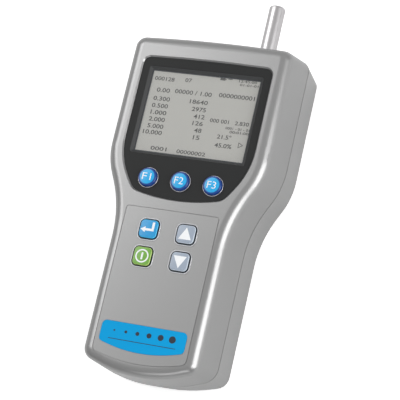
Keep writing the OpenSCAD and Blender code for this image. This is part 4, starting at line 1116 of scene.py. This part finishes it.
# %% Case and cover screws
case_head_r, case_head_h, case_shank_r, case_arm = 0.0029, 0.0022, 0.00145, 0.0042
cover_head_r, cover_head_h, cover_shank_r, cover_arm = 0.0025, 0.0009, 0.0014, 0.0034
case_l = case_spots[0][3] - case_spots[0][2]
case_screw = screw_shape(case_head_r, case_head_h, case_shank_r, case_l - case_head_h, case_arm)
copies = []
for x, y, z0, z1 in case_spots:
    one = bpy.data.objects.new("screw", case_screw.data.copy())
    bpy.context.scene.collection.objects.link(one)
    one.location = (x, y, z0)
    bake_place(one)
    copies.append(one)
bpy.data.objects.remove(case_screw)
case_set = join(copies[0], copies[1:])
finish_piece(case_set, "case_screws_crossed", plated, "housing")
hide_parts("case_screws")
x, y, z0, z1 = islands("cover_screw")[0]
cover_one = screw_shape(cover_head_r, cover_head_h, cover_shank_r, z1 - z0 - cover_head_h,
                        cover_arm)
cover_one.location = (x, y, z0)
finish_piece(cover_one, "cover_screw_crossed", plated, "housing")
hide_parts("cover_screw")

# %% [markdown]
# ## Thread of the tripod bush
# A camera screw has 20 turns to the inch, so its ridges are 1.27 mm apart. A small triangle is
# turned up the hole by the Screw modifier, which sweeps it through a full turn for each pitch.

# %% Tripod thread
bush_low, bush_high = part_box("tripod_insert")
bush_mid = (bush_low + bush_high) / 2
pitch = 0.00127
turns = 5
turn_steps = 180
ridge_r = 0.00042
ridge_x = 0.0029
ridge_low = 0.0006
start_fresh()
bpy.ops.mesh.primitive_circle_add(vertices=3, radius=ridge_r, fill_type="NGON", location=(0, 0, 0),
                                  rotation=(math.pi / 2, 0, 0))
ridge = bpy.context.object
bake_place(ridge)
ridge.location.x = ridge_x
bake_place(ridge)
sweep = ridge.modifiers.new("thread", "SCREW")
sweep.angle = math.radians(360 * turns)
sweep.screw_offset = pitch * turns
sweep.steps = turn_steps
sweep.render_steps = turn_steps
sweep.use_merge_vertices = False
bpy.ops.object.modifier_apply(modifier=sweep.name)
outward(ridge)
ridge.location = (bush_mid.x, bush_mid.y, bush_low.z + ridge_low)
smooth(ridge, 30)
finish_piece(ridge, "tripod_thread", brass, "housing")

# %% [markdown]
# ## The floor and the backdrop
# The instrument lies on a wide white floor. The floor is lit by the same lamps, so it keeps a soft
# shadow. A small glow, seen only by the camera and through glass, lifts it to white without adding
# light to the object.

# %% Floor
floor_gap = 0.00005
floor_z = cad_box[0].z - floor_gap
floor_glow = 0.55
start_fresh()
bpy.ops.mesh.primitive_plane_add(size=6, location=(0, 0, floor_z))
floor = bpy.context.object
floor.name = "floor"
floor_white = bpy.data.materials.new("floor white")
floor_white.use_nodes = True
floor_tree = floor_white.node_tree
floor_shader = shader_of(floor_white)
floor_shader.inputs["Base Color"].default_value = (0.86, 0.86, 0.86, 1)
floor_shader.inputs["Roughness"].default_value = 0.9
floor_shader.inputs["Specular IOR Level"].default_value = 0.0
rays = floor_tree.nodes.new("ShaderNodeLightPath")
seen = math_node(floor_tree, "MAXIMUM", rays.outputs["Is Camera Ray"],
                 rays.outputs["Is Transmission Ray"])
glow = math_node(floor_tree, "MULTIPLY", seen, floor_glow)
floor_tree.links.new(glow, floor_shader.inputs["Emission Strength"])
floor_shader.inputs["Emission Color"].default_value = (1, 1, 1, 1)
floor.data.materials.append(floor_white)
print("floor in mm:", in_mm((floor_z,)))

# %% [markdown]
# ## Light
# A studio for small products: a plain bright room, a large soft box up and to the left whose
# reflection grades the face from light to mid grey, a broad box on the right that lights the sides
# and draws a soft bright line along the rounded edges, and a weak one in front. The room's light
# is the world, and the camera sees it as white.

# %% World
bright_side = (-0.35, 0.62, 0.70)
room_low = 0.28
room_high = 0.58
world = bpy.data.worlds.new("room")
bpy.context.scene.world = world
world.use_nodes = True
world_tree = world.node_tree
room = world_tree.nodes["Background"]
towards = world_tree.nodes.new("ShaderNodeTexCoord").outputs["Generated"]
lit_side = world_tree.nodes.new("ShaderNodeVectorMath")
lit_side.operation = "DOT_PRODUCT"
world_tree.links.new(towards, lit_side.inputs[0])
lit_side.inputs[1].default_value = bright_side
grade = world_tree.nodes.new("ShaderNodeMapRange")
grade.interpolation_type = "SMOOTHSTEP"
grade.inputs["From Min"].default_value = -0.5
grade.inputs["From Max"].default_value = 1.0
grade.inputs["To Min"].default_value = room_low
grade.inputs["To Max"].default_value = room_high
world_tree.links.new(lit_side.outputs["Value"], grade.inputs["Value"])
world_rays = world_tree.nodes.new("ShaderNodeLightPath")
world_seen = math_node(world_tree, "MAXIMUM", world_rays.outputs["Is Camera Ray"],
                       world_rays.outputs["Is Transmission Ray"])
room_level = math_node(world_tree, "MAXIMUM", world_seen, grade.outputs["Result"])
world_tree.links.new(room_level, room.inputs["Strength"])
room.inputs["Color"].default_value = (1, 1, 1, 1)
print("room light runs from", room_low, "to", room_high, "and is 1 to the camera")

# %% Lamps
def soft_box(name, place_at, look_at, width, length, watts):
    data = bpy.data.lights.new(name, "AREA")
    data.shape = "RECTANGLE"
    data.size = width
    data.size_y = length
    data.energy = watts
    lamp = bpy.data.objects.new(name, data)
    bpy.context.scene.collection.objects.link(lamp)
    lamp.location = place_at
    lamp.rotation_mode = "QUATERNION"
    lamp.rotation_quaternion = (Vector(look_at) - Vector(place_at)).to_track_quat("-Z", "Y")
    print(name, "at", place_at, watts, "W")


soft_box("key box", place_at=(-0.94, 0.48, 1.15), look_at=(0, 0, 0.03), width=1.0, length=0.9,
         watts=7)
soft_box("edge box", place_at=(1.15, -0.06, 0.62), look_at=(0.04, 0, 0.05), width=0.85, length=0.9,
         watts=11)
soft_box("front box", place_at=(0.10, -1.10, 0.55), look_at=(0, -0.1, 0.04), width=0.9, length=0.4,
         watts=1.8)

# %% [markdown]
# ## Settings and the end
# The standard view keeps the colours as they are written.

# %% Settings and the end
bpy.context.scene.view_settings.view_transform = "Standard"
